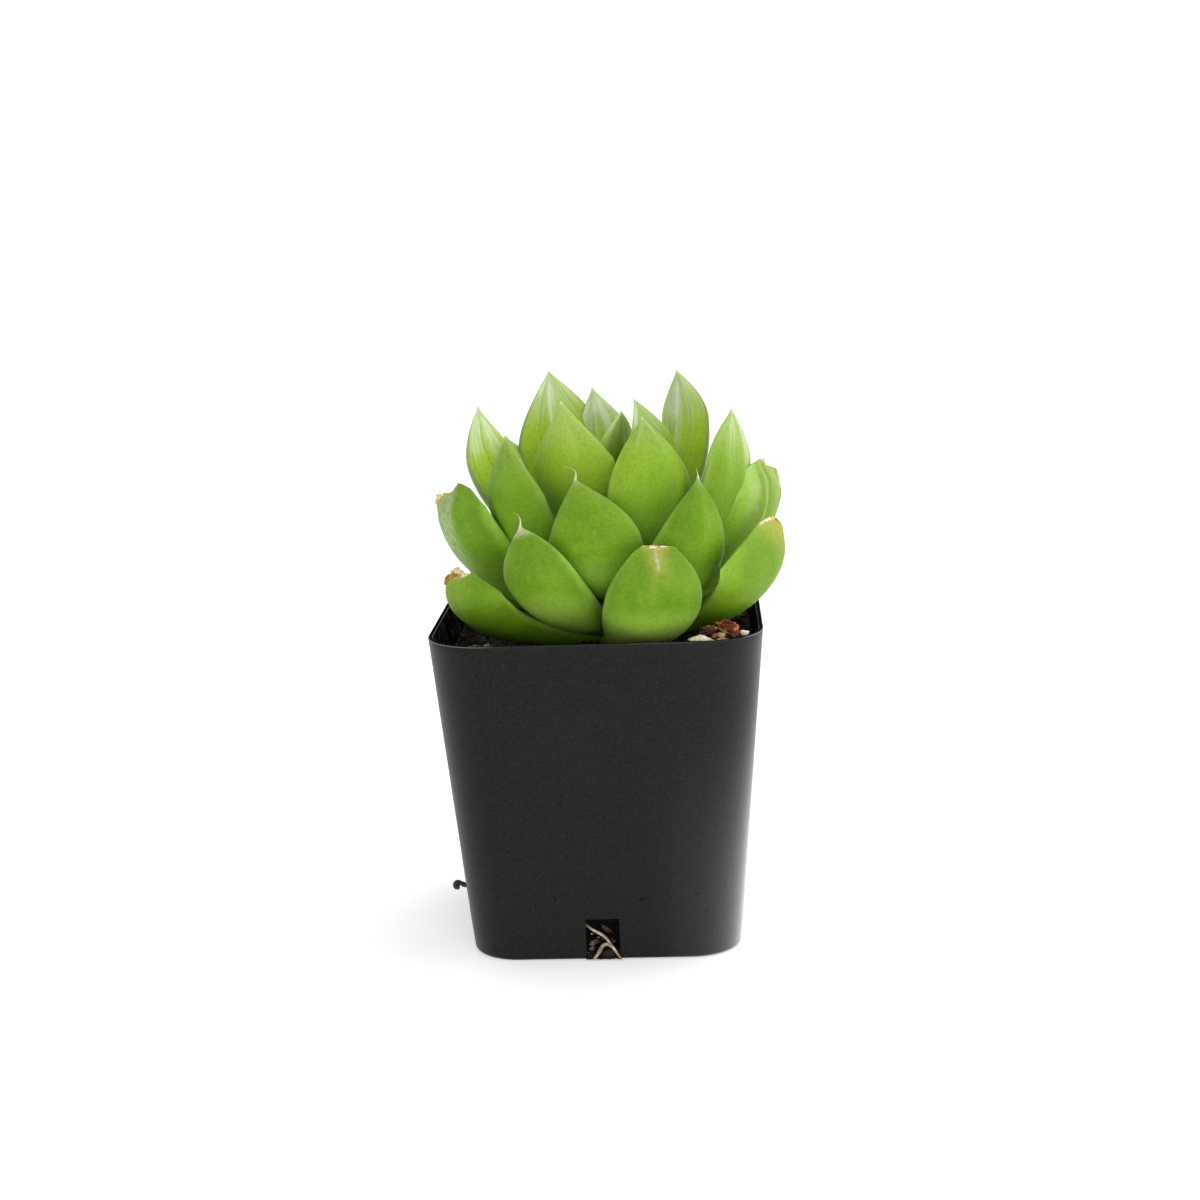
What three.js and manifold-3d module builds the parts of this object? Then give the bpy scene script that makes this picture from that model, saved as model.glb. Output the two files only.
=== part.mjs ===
// Potted haworthia: a small rosette of plump, soft-tipped leaves in a square black nursery pot.
// Millimetres, +Z up, -Y is the front. The origin is the centre of the pot's underside.
import * as THREE from "three";
import { mergeVertices } from "three/addons/utils/BufferGeometryUtils.js";
import Module from "manifold-3d";

const wasm = await Module();
wasm.setup();

// Clear space left wherever two pieces touch.
const GAP = 0.3;

// The pot is the standard 2 inch square nursery pot, tapered, with a plain thin rim.
const POT_HEIGHT = 51;
const POT_TOP = 50.8;
const POT_BOTTOM = 42;
const POT_TOP_CORNER = 9;
const POT_BOTTOM_CORNER = 7.5;
const POT_WALL = 0.7;
const POT_FLOOR = 1.1;
const POT_FOOT_ROUNDING = 0.5;
const CORNER_STEPS = 5;

// One drainage notch at the foot of each side, open at the bottom.
const NOTCH_WIDTH = 5.2;
const NOTCH_HEIGHT = 6.8;
const NOTCH_INTO_FLOOR = 3;
const NOTCH_SHIFT = -0.35;

// Potting mix: level near the walls, heaped or hollowed where the mounds say (x, y, radius, rise).
const SOIL_LEVEL = 45.8;
const SOIL_MOUNDS = [
  [14, -21, 9, 3.0],
  [19, -19.5, 5, 2.8],
  [-16, -22.5, 5, 4.8],
  [-21, -19, 4, -3],
  [2, 0, 12, 1.5],
  [-8, 20, 9, 1.4],
];
const SOIL_CRUMB = 0.25;
const SOIL_CRUMB_TURN = 0.9;
const SOIL_RINGS = [1, 0.85, 0.68, 0.5, 0.3];

// The rosette's axis stands a little right of the pot's centre.
const AXIS_X = 2;
const STEM_TOP = 62;
const STEM_FOOT = 42;
const STEM_PROFILE = [
  [2.5, STEM_FOOT],
  [4.6, 45],
  [4.4, 50],
  [3.2, 56],
  [1.6, 61],
];
const STEM_SIDES = 10;
const FIRST_LEAF_HEIGHT = 46.5;
const OLDEST_BASE_REACH = 4;
const YOUNGEST_BASE_REACH = 1;

// Leaves, one row each, from the oldest and lowest to the youngest. Bearings are degrees from
// +X (right), so 270 faces the front. The tip's bearing is turned from the body's by tipTurn.
// Reaches are from the axis, tipRise is from the rim. widest is the share of the length where the
// leaf is widest, and it narrows from there more bluntly as narrowing grows. A withered end is
// blunt and dry, and a pointed one has a bristle of the length given.
const LEAF_ROWS = [
  // bearing, tipTurn, tipReach, tipRise, bellyReach, width, thickness, roll, widest, narrowing, end,
  // bristle
  [288, 0, 23.7, 14.3, 21.1, 14.7, 6.5, 8, 0.56, 2.6, "withered", 0],
  [213, 3, 24.2, 9.3, 20.9, 13.7, 5.0, -15, 0.7, 2.7, "withered", 0],
  [329, -8, 27.0, 14.4, 22.2, 16.0, 5.5, -2, 0.84, 2.6, "withered", 0],
  [65, 0, 24.0, 13.0, 19.0, 13.5, 6.0, 0, 0.62, 1.7, "pointed", 1.2],
  [115, 0, 24.5, 12.0, 19.0, 13.5, 6.0, 0, 0.62, 1.7, "pointed", 1.5],
  [244, -7, 22.8, 16.7, 18.6, 13.0, 6.3, -11, 0.54, 2.5, "pointed", 2.4],
  [28, 0, 25.0, 11.0, 19.0, 13.5, 6.0, 0, 0.66, 2.6, "withered", 0],
  [158, 0, 24.0, 9.0, 18.0, 13.5, 6.0, 0, 0.6, 1.8, "pointed", 1.2],
  [193, 0, 23.9, 21.3, 18.1, 13.7, 6.3, -33, 0.72, 2.7, "withered", 0],
  [358, 2, 24.1, 23.0, 18.4, 14.8, 6.3, 34, 0.68, 2.8, "withered", 0],
  [307, 10, 19.4, 22.3, 18.9, 12.9, 6.6, 23, 0.46, 2.1, "pointed", 1.6],
  [88, 0, 22.0, 20.5, 18.0, 13.5, 6.0, 0, 0.62, 1.7, "pointed", 1.4],
  [133, 0, 21.5, 18.0, 17.5, 13.5, 6.0, 0, 0.6, 1.8, "pointed", 1.0],
  [48, 0, 21.0, 18.5, 17.0, 13.5, 6.0, 0, 0.64, 1.7, "pointed", 1.2],
  [266, -11, 16.1, 23.0, 16.9, 14.4, 6.0, -15, 0.56, 1.9, "pointed", 1.6],
  [213, -3, 17.1, 28.9, 14.0, 13.0, 6.5, -18, 0.68, 1.35, "pointed", 0.9],
  [342, 10, 19.8, 31.2, 16.3, 13.7, 6.0, 21, 0.78, 1.6, "pointed", 0.9],
  [151, 11, 17.3, 27.1, 13.2, 12.8, 5.5, 7, 0.7, 1.75, "pointed", 0.9],
  [162, -1, 21.9, 31.7, 16.0, 12.0, 5.5, 14, 0.72, 1.65, "pointed", 0.8],
  [70, 0, 17.0, 24.0, 14.5, 12.5, 5.5, 0, 0.64, 1.7, "pointed", 1.0],
  [34, 8, 15.1, 36.3, 13.3, 11.7, 4.6, 2, 0.8, 1.75, "pointed", 0.8],
  [93, 9, 12.1, 33.7, 12.2, 12.7, 5.5, -2, 0.66, 1.4, "pointed", 0.8],
  [123, 11, 13.3, 36.9, 12.1, 15.2, 5.5, 18, 0.67, 1.55, "pointed", 0.8],
  [242, -8, 10.7, 33.9, 8.0, 14.6, 5.5, -10, 0.7, 1.15, "pointed", 0.7],
  [300, 4, 10.6, 31.1, 12.6, 14.7, 6.0, 0, 0.6, 1.85, "pointed", 0.7],
  [338, -12, 5.7, 33.3, 7.7, 12.1, 4.5, 2, 0.69, 1.7, "pointed", 0.7],
  [265, 42, 4.4, 31.6, 1.5, 13.4, 3.6, -30, 0.8, 1.7, "pointed", 0.6],
  [130, 0, 3.5, 25.0, 4.0, 7.0, 3.5, 0, 0.66, 1.6, "pointed", 0.6],
];
const LEAF_SIDES = 10;
const LEAF_STATIONS = 12;
const STATION_CROWDING = 1.25;
const BELLY_HEIGHT_SHARE = 0.42;
const BASE_WIDTH_SHARE = 0.5;
const WIDTH_SWELL = 1.6;
const BASE_DEPTH_SHARE = 0.62;
const DEEPEST = 0.5;
const OUTER_FACE_SHARE = 0.62;
const OUTER_ROUNDNESS = 1.25;
const INNER_ROUNDNESS = 1.5;
const BRISTLE_HALF_THICKNESS = 0.32;
const BRISTLE_CURL = 0.45;

// How each kind of end closes.
const LEAF_ENDS = {
  pointed: { widthRound: 1, depthPower: 1.9, depthRound: 1 },
  withered: { widthRound: 0.55, depthPower: 2.4, depthRound: 0.7 },
};

// Main roots: thickness, and each root's points from the stem down to where it ends.
const ROOT_RADIUS = 0.35;
const ROOT_HALF_SIDES = 3;
const ROOT_STEP = 6;
const ROOTS = [
  // out at the front notch and down across it to the ground
  [[1, -1.5, 44], [-1, -8, 28], [-4.5, -16, 10], [-4, -19.3, 7.1], [-2.6, -20.4, 5.6], [-0.4, -21, 3.9],
    [1, -21.1, 2.2], [2.3, -21.9, 0.5]],
  // its fork, which drops to the left
  [[0.9, -21.05, 2.3], [-0.4, -21.1, 2.3], [-1.2, -21.3, 1.1], [-1.8, -21.5, 0.5]],
  // curled dark end out of the left notch
  [[0.5, 0, 44], [-6, -3, 26], [-15, -2, 9], [-20.5, -0.8, 4.6], [-24, -0.8, 5.4], [-25.9, -0.8, 5.2]],
  [[2.5, 1, 44], [8, 6, 30], [13, 12, 14], [14.5, 14.5, 5]],
  [[1.5, 1.5, 44], [-3, 9, 28], [-9, 15, 12], [-5, 16.5, 4]],
  [[3, -0.5, 44], [10, -5, 28], [16, -11, 13], [12, -15.5, 4.5]],
];

// Loose pieces of the mix on top: x, y, height of middle, length, width, thickness, turn, tilt.
const BARK = [
  [20.1, -20.5, 51.8, 4.4, 2.0, 2.4, -4, 26],
  [16.9, -20.4, 51.5, 4.0, 1.9, 1.9, 8, -10],
  [-17.7, -22.9, 50.4, 2.2, 1.3, 1.1, 10, 8],
  [-20.5, 17.0, 46.9, 4.4, 2.6, 1.4, -20, 10],
  [20.0, 19.6, 46.6, 3.8, 2.4, 1.3, 60, -8],
];
const PUMICE = [
  [16.1, -22.6, 50.5, 4.4, 2.0, 2.2, 2, 4],
  [19.2, -23.3, 50.6, 3.0, 1.0, 0.9, -3, 0],
  [19.1, -22.3, 51.2, 1.5, 0.9, 0.8, -6, 14],
  [22.5, -20.7, 51.0, 1.7, 1.1, 1.0, 10, 0],
  [-15.8, -23.2, 50.4, 1.8, 1.2, 1.1, 0, 0],
  [-21.8, -9.0, 45.9, 2.4, 2.0, 1.6, 70, 0],
  [22.2, 14.6, 46.5, 3.0, 2.2, 1.8, -50, 0],
  [-16.0, 21.4, 47.3, 2.8, 2.2, 1.7, 10, 0],
];
const CHIP_ROUGHNESS = 0.16;
const CHIP_WAVE = 5;

const rootTan = new THREE.MeshStandardMaterial({ color: 0xb7a27e, roughness: 0.75, metalness: 0 });
const potBlack = new THREE.MeshStandardMaterial({ color: 0x2b2c2c, roughness: 0.55, metalness: 0 });
const soilBrown = new THREE.MeshStandardMaterial({ color: 0x2e241b, roughness: 0.95, metalness: 0 });
const barkBrown = new THREE.MeshStandardMaterial({ color: 0x7a3f22, roughness: 0.85, metalness: 0 });
const pumiceCream = new THREE.MeshStandardMaterial({ color: 0xd6c7a1, roughness: 0.9, metalness: 0 });
const OLD_LEAF_GREEN = new THREE.Color(0x6f9a33);
const YOUNG_LEAF_GREEN = new THREE.Color(0x93bd4e);

// A closed geometry as a solid: seams are merged and triangles without area are dropped.
function solidFrom(geometry) {
  const bare = new THREE.BufferGeometry();
  bare.setAttribute("position", geometry.getAttribute("position").clone());
  bare.setIndex(geometry.getIndex());
  const merged = mergeVertices(bare, 1e-4);
  const index = merged.getIndex().array;
  const triangles = [];
  for (let i = 0; i < index.length; i += 3) {
    const [a, b, c] = [index[i], index[i + 1], index[i + 2]];
    if (a !== b && b !== c && c !== a) triangles.push(a, b, c);
  }
  const mesh = new wasm.Mesh({
    numProp: 3,
    vertProperties: new Float32Array(merged.getAttribute("position").array),
    triVerts: new Uint32Array(triangles),
  });
  return new wasm.Manifold(mesh);
}

function meshFrom(name, solid, material) {
  const { vertProperties, triVerts } = solid.getMesh();
  const geometry = new THREE.BufferGeometry();
  geometry.setAttribute("position", new THREE.BufferAttribute(vertProperties, 3));
  geometry.setIndex(new THREE.BufferAttribute(triVerts, 1));
  geometry.computeVertexNormals();
  const mesh = new THREE.Mesh(geometry, material);
  mesh.name = name;
  return mesh;
}

function largestBody(solid) {
  const bodies = solid.decompose();
  return bodies.reduce((best, body) => (body.volume() > best.volume() ? body : best));
}

function union(solids) {
  return solids.reduce((all, next) => all.add(next));
}

// A square with round corners, as points in order around it, seen from above.
function roundedSquare(side, corner) {
  const half = side / 2 - corner;
  const shape = new THREE.Shape();
  shape.absarc(half, half, corner, 0, Math.PI / 2, false);
  shape.absarc(-half, half, corner, Math.PI / 2, Math.PI, false);
  shape.absarc(-half, -half, corner, Math.PI, Math.PI * 1.5, false);
  shape.absarc(half, -half, corner, Math.PI * 1.5, Math.PI * 2, false);
  const points = shape.getPoints(CORNER_STEPS);
  return points.filter((point, i) => i === 0 || point.distanceTo(points[i - 1]) > 1e-6);
}

// A closed solid through a stack of rings with equal counts, its two ends closed by fans.
function loftRings(rings) {
  const count = rings[0].length;
  const vertices = rings.flat();
  const first = vertices.push(middle(rings[0])) - 1;
  const last = vertices.push(middle(rings.at(-1))) - 1;
  const index = [];
  const topRing = (rings.length - 1) * count;
  for (let i = 0; i < count; i += 1) {
    const next = (i + 1) % count;
    for (let ring = 0; ring < topRing; ring += count) {
      index.push(ring + i, ring + next, ring + count + next);
      index.push(ring + i, ring + count + next, ring + count + i);
    }
    index.push(first, next, i);
    index.push(last, topRing + i, topRing + next);
  }
  const geometry = new THREE.BufferGeometry().setFromPoints(vertices);
  geometry.setIndex(index);
  return geometry;
}

function middle(ring) {
  const sum = ring.reduce((total, point) => total.add(point), new THREE.Vector3());
  return sum.divideScalar(ring.length);
}

// Outline of the pot's outside at a height, moved in by an inset.
function potRing(height, inset, drawnAt = height) {
  const share = height / POT_HEIGHT;
  const side = THREE.MathUtils.lerp(POT_BOTTOM, POT_TOP, share) - 2 * inset;
  const corner = THREE.MathUtils.lerp(POT_BOTTOM_CORNER, POT_TOP_CORNER, share) - inset;
  return roundedSquare(side, corner).map((p) => new THREE.Vector3(p.x, p.y, drawnAt));
}

// The pot's wall and floor, thickened all over by grow.
function potShell(grow) {
  return solidFrom(loftRings([
    potRing(0, POT_FOOT_ROUNDING - grow, -grow),
    potRing(POT_FOOT_ROUNDING, -grow),
    potRing(POT_HEIGHT, -grow, POT_HEIGHT + grow),
    potRing(POT_HEIGHT, POT_WALL + grow, POT_HEIGHT + grow),
    potRing(POT_FLOOR, POT_WALL + grow, POT_FLOOR + grow),
  ]));
}

function makePot() {
  let pot = potShell(0);
  for (let side = 0; side < 4; side += 1) {
    const notch = new THREE.BoxGeometry(NOTCH_WIDTH, 2 * NOTCH_INTO_FLOOR, 2 * NOTCH_HEIGHT);
    notch.translate(NOTCH_SHIFT, -POT_BOTTOM / 2, 0);
    notch.rotateZ((side * Math.PI) / 2);
    pot = pot.subtract(solidFrom(notch));
  }
  return pot;
}

function soilHeight(x, y) {
  let height = SOIL_LEVEL;
  for (const [moundX, moundY, radius, rise] of SOIL_MOUNDS) {
    height += rise * Math.exp(-((x - moundX) ** 2 + (y - moundY) ** 2) / radius ** 2);
  }
  const crumb = Math.sin(SOIL_CRUMB_TURN * (x + y / 2)) * Math.cos(SOIL_CRUMB_TURN * (y - x / 2));
  return height + SOIL_CRUMB * crumb;
}

// The mix fills the pot to its uneven top, which is drawn by ever smaller outlines.
function makeSoil() {
  const inset = POT_WALL + GAP;
  const outline = potRing(SOIL_LEVEL, inset);
  const top = SOIL_RINGS.map((scale) => outline.map((p) => {
    const [x, y] = [p.x * scale, p.y * scale];
    return new THREE.Vector3(x, y, soilHeight(x, y));
  }));
  const floor = POT_FLOOR + GAP;
  return solidFrom(loftRings([potRing(floor, inset), ...top]));
}

// Widths and depths along a leaf, as shares of its largest.
function leafWidthShare(s, leaf) {
  const swell = Math.sin((Math.PI / 2) * Math.min(s / leaf.widest, 1)) ** WIDTH_SWELL;
  if (s < leaf.widest) return THREE.MathUtils.lerp(BASE_WIDTH_SHARE, 1, swell);
  const beyond = (s - leaf.widest) / (1 - leaf.widest);
  return (1 - beyond ** leaf.narrowing) ** LEAF_ENDS[leaf.end].widthRound;
}

function leafDepthShare(s, leaf) {
  const swell = Math.sin((Math.PI / 2) * Math.min(s / DEEPEST, 1));
  if (s < DEEPEST) return THREE.MathUtils.lerp(BASE_DEPTH_SHARE, 1, swell);
  const { depthPower, depthRound } = LEAF_ENDS[leaf.end];
  const beyond = (s - DEEPEST) / (1 - DEEPEST);
  return (1 - beyond ** depthPower) ** depthRound;
}

// A leaf's middle line: from the stem out to its belly and up to its tip.
function leafCurve(leaf) {
  const share = leaf.order / (LEAF_ROWS.length - 1);
  const reach = THREE.MathUtils.lerp(OLDEST_BASE_REACH, YOUNGEST_BASE_REACH, share);
  const height = THREE.MathUtils.lerp(FIRST_LEAF_HEIGHT, STEM_TOP, share);
  const base = polar(leaf.bearing, reach, height);
  const tip = polar(leaf.bearing + leaf.tipTurn, leaf.tipReach, POT_HEIGHT + leaf.tipRise);
  const bellyHeight = THREE.MathUtils.lerp(base.z, tip.z, BELLY_HEIGHT_SHARE);
  const belly = polar(leaf.bearing, leaf.bellyReach, bellyHeight);
  const bend = belly.multiplyScalar(2).sub(base.clone().add(tip).divideScalar(2));
  return new THREE.QuadraticBezierCurve3(base, bend, tip);
}

function polar(bearing, reach, height) {
  const angle = THREE.MathUtils.degToRad(bearing);
  return new THREE.Vector3(AXIS_X + reach * Math.cos(angle), reach * Math.sin(angle), height);
}

// The leaf's width direction and the normal of its inner face at a place on its middle line.
function leafAxes(leaf, tangent) {
  const angle = THREE.MathUtils.degToRad(leaf.bearing + leaf.tipTurn);
  const around = new THREE.Vector3(-Math.sin(angle), Math.cos(angle), 0);
  const across = around.addScaledVector(tangent, -around.dot(tangent)).normalize();
  const inward = new THREE.Vector3().crossVectors(tangent, across);
  const roll = THREE.MathUtils.degToRad(leaf.roll);
  return [across.applyAxisAngle(tangent, -roll), inward.applyAxisAngle(tangent, -roll)];
}

// A leaf is a sphere's net drawn out along the middle line: round below, flatter above.
function leafSolid(leaf, grow) {
  const curve = leafCurve(leaf);
  const geometry = new THREE.SphereGeometry(1, LEAF_SIDES, LEAF_STATIONS);
  const position = geometry.getAttribute("position");
  const uv = geometry.getAttribute("uv");
  for (let i = 0; i < position.count; i += 1) {
    const station = Math.round((1 - uv.getY(i)) * LEAF_STATIONS);
    const turn = (-2 * Math.PI * Math.round(uv.getX(i) * LEAF_SIDES)) / LEAF_SIDES;
    const point = leafPoint(leaf, curve, station, turn, grow);
    position.setXYZ(i, point.x, point.y, point.z);
  }
  return solidFrom(geometry);
}

function leafPoint(leaf, curve, station, turn, grow) {
  const along = THREE.MathUtils.clamp((station - 1) / (LEAF_STATIONS - 2), 0, 1);
  const s = 1 - (1 - along) ** STATION_CROWDING;
  const tangent = curve.getTangent(s);
  const [across, inward] = leafAxes(leaf, tangent);
  const point = curve.getPoint(s);
  if (station === 0) return point.addScaledVector(tangent, -grow);
  if (station === LEAF_STATIONS) {
    const length = Math.max(leaf.bristle, BRISTLE_HALF_THICKNESS) + grow;
    return point.addScaledVector(tangent, length).addScaledVector(inward, leaf.bristle * BRISTLE_CURL);
  }
  const halfWidth = Math.max((leaf.width / 2) * leafWidthShare(s, leaf), BRISTLE_HALF_THICKNESS) + grow;
  const depth = leaf.thickness * leafDepthShare(s, leaf);
  const outerHalf = Math.max(depth * OUTER_FACE_SHARE, BRISTLE_HALF_THICKNESS) + grow;
  const innerHalf = Math.max(depth * (1 - OUTER_FACE_SHARE), BRISTLE_HALF_THICKNESS) + grow;
  const lift = Math.abs(Math.sin(turn));
  const outer = Math.sin(turn) < 0;
  const rise = outer ? -(lift ** OUTER_ROUNDNESS) * outerHalf : lift ** INNER_ROUNDNESS * innerHalf;
  return point.addScaledVector(across, Math.cos(turn) * halfWidth).addScaledVector(inward, rise);
}

function makeStem(grow) {
  const profile = [new THREE.Vector2(0, STEM_FOOT - grow)];
  for (const [radius, height] of STEM_PROFILE) profile.push(new THREE.Vector2(radius + grow, height));
  profile.push(new THREE.Vector2(0, STEM_TOP + grow));
  const stem = new THREE.LatheGeometry(profile, STEM_SIDES);
  stem.rotateX(Math.PI / 2);
  stem.translate(AXIS_X, 0, 0);
  return solidFrom(stem);
}

function makeRoot(points, grow) {
  const path = new THREE.CatmullRomCurve3(points.map((p) => new THREE.Vector3(...p)));
  const section = new THREE.Shape();
  section.absarc(0, 0, ROOT_RADIUS + grow, 0, Math.PI * 2, false);
  const steps = Math.max(3, Math.round(path.getLength() / ROOT_STEP));
  const options = { extrudePath: path, steps, curveSegments: ROOT_HALF_SIDES, bevelEnabled: false };
  return solidFrom(new THREE.ExtrudeGeometry(section, options));
}

function makeStock(grow) {
  return union([makeStem(grow), ...ROOTS.map((points) => makeRoot(points, grow))]);
}

// A chip of bark or pumice: a faceted pebble, roughened by a formula.
function makeChip(row, grow) {
  const [x, y, height, length, width, thickness, turn, tilt] = row;
  const chip = new THREE.IcosahedronGeometry(1, 1);
  const position = chip.getAttribute("position");
  const point = new THREE.Vector3();
  for (let i = 0; i < position.count; i += 1) {
    point.fromBufferAttribute(position, i);
    const wave = Math.sin(CHIP_WAVE * point.x + x) * Math.cos(CHIP_WAVE * point.y - y);
    point.multiplyScalar(1 - CHIP_ROUGHNESS * (1 + wave) / 2);
    point.multiply(new THREE.Vector3(length / 2 + grow, width / 2 + grow, thickness / 2 + grow));
    position.setXYZ(i, point.x, point.y, point.z);
  }
  chip.rotateY(THREE.MathUtils.degToRad(tilt));
  chip.rotateZ(THREE.MathUtils.degToRad(turn));
  chip.translate(x, y, height);
  return solidFrom(chip);
}

function numbered(name, order) {
  return `${name}_${String(order + 1).padStart(2, "0")}`;
}

const LEAF_FIELDS = [
  "bearing", "tipTurn", "tipReach", "tipRise", "bellyReach", "width",
  "thickness", "roll", "widest", "narrowing", "end", "bristle",
];
const leaves = LEAF_ROWS.map((row, order) => {
  const fields = row.map((value, i) => [LEAF_FIELDS[i], value]);
  return { order, ...Object.fromEntries(fields) };
});

const plant = new THREE.Group();
plant.name = "potted_haworthia";
plant.add(meshFrom("pot", makePot(), potBlack));
plant.add(meshFrom("stem_and_roots", makeStock(0), rootTan));

// Each leaf is pressed against the younger ones inside it, so the youngest is made first.
const potSpace = potShell(GAP);
let taken = makeStock(GAP);
for (const leaf of leaves.toReversed()) {
  const solid = largestBody(leafSolid(leaf, 0).subtract(taken).subtract(potSpace));
  const youth = leaf.order / (leaves.length - 1);
  const color = OLD_LEAF_GREEN.clone().lerp(YOUNG_LEAF_GREEN, youth);
  const material = new THREE.MeshStandardMaterial({ color, roughness: 0.45, metalness: 0 });
  plant.add(meshFrom(numbered("leaf", leaf.order), solid, material));
  taken = taken.add(leafSolid(leaf, GAP));
}

function addChips(name, rows, material) {
  rows.forEach((row, order) => {
    const chip = largestBody(makeChip(row, 0).subtract(taken).subtract(potSpace));
    plant.add(meshFrom(numbered(name, order), chip, material));
    taken = taken.add(makeChip(row, GAP));
  });
}
addChips("bark", BARK, barkBrown);
addChips("pumice", PUMICE, pumiceCream);

plant.add(meshFrom("soil", largestBody(makeSoil().subtract(taken)), soilBrown));

export default plant;
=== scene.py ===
import math
from functools import cached_property
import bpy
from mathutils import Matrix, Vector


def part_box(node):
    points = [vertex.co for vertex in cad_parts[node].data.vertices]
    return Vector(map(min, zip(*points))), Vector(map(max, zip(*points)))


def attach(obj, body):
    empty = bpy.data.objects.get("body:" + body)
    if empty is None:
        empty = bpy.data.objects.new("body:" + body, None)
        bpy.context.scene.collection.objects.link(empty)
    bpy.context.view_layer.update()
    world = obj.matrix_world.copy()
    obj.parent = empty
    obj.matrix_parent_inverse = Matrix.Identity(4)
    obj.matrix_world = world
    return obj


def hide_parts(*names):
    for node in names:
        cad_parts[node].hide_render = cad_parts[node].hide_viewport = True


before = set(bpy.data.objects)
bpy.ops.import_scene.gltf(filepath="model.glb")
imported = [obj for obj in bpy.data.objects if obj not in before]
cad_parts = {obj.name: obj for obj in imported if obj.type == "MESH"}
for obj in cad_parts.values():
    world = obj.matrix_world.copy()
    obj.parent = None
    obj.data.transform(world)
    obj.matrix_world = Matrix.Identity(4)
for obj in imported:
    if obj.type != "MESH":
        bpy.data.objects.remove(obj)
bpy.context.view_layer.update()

from types import SimpleNamespace

import bmesh
import bpy
import numpy as np
from mathutils import Matrix, Vector

# A potted haworthia in a square black nursery pot. Shapes are worked out in millimetres, as the
# part's own source does, and turned into metres when a mesh is made.
MM = 0.001
SEED = 11


# Meshes

def make_object(name, vertices_mm, faces, material, smooth=True):
    mesh = bpy.data.meshes.new(name)
    mesh.from_pydata((np.asarray(vertices_mm) * MM).tolist(), [], faces)
    mesh.materials.append(material)
    mesh.update()
    if smooth:
        mesh.shade_smooth()
    piece = bpy.data.objects.new(name, mesh)
    bpy.context.scene.collection.objects.link(piece)
    return piece


def loft(rings, zipped=False):
    """Vertices and faces of a closed loft through an array of rings, count x sides x 3.

    A fan closes the first ring. The last one gets a fan too, or is zipped shut where it is thin.
    """
    count, sides, _ = rings.shape
    vertices = [rings.reshape(-1, 3), rings[0].mean(axis=0), rings[-1].mean(axis=0)]
    first_cap, top = count * sides, (count - 1) * sides
    faces = []
    for i in range(sides):
        after = (i + 1) % sides
        for low in range(0, top, sides):
            faces.append((low + i, low + after, low + sides + after, low + sides + i))
        faces.append((first_cap, after, i))
        if not zipped:
            faces.append((first_cap + 1, top + i, top + after))
    if zipped:
        vertices.pop()
        faces += zip_faces(top, sides)
    return np.vstack(vertices), faces


def zip_faces(top, sides):
    """Faces that join each vertex of a leaf's thin last ring to the one on its other face."""
    faces = []
    for i in range(-1, sides // 2 - 1):
        corners = [i % sides, i + 1, sides - 3 - i, (sides - 2 - i) % sides]
        faces.append(tuple(top + corner for corner in dict.fromkeys(corners)))
    return faces


def join(parts):
    """One mesh of several, each a pair of vertices and faces."""
    faces, offset = [], 0
    for vertices, part_faces in parts:
        faces += [[corner + offset for corner in face] for face in part_faces]
        offset += len(vertices)
    return np.vstack([vertices for vertices, _ in parts]), faces


def unit(vectors):
    """Rows of vectors, each scaled to length 1."""
    return vectors / np.linalg.norm(vectors, axis=1, keepdims=True)


def full_turn(count):
    """Evenly spaced angles once around."""
    return np.linspace(0, 2 * math.pi, count, endpoint=False)


def smoothstep(low, high, x):
    t = np.clip((x - low) / (high - low), 0, 1)
    return t * t * (3 - 2 * t)


def wobble(points, scale, seed):
    """A smooth, repeatable value from about -1 to 1 at each point: a sum of three slanted waves."""
    draw = np.random.default_rng(seed)
    total = np.zeros(len(points))
    for _ in range(3):
        direction = draw.normal(size=3)
        direction *= draw.uniform(0.7, 1.4) / (scale * np.linalg.norm(direction))
        total += np.sin(points @ direction * 2 * math.pi + draw.uniform(0, 6.3))
    return total / 2


def finish_piece(piece, slot, *nodes):
    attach(piece, "root")
    if nodes:
        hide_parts(*nodes)


# Material nodes

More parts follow.
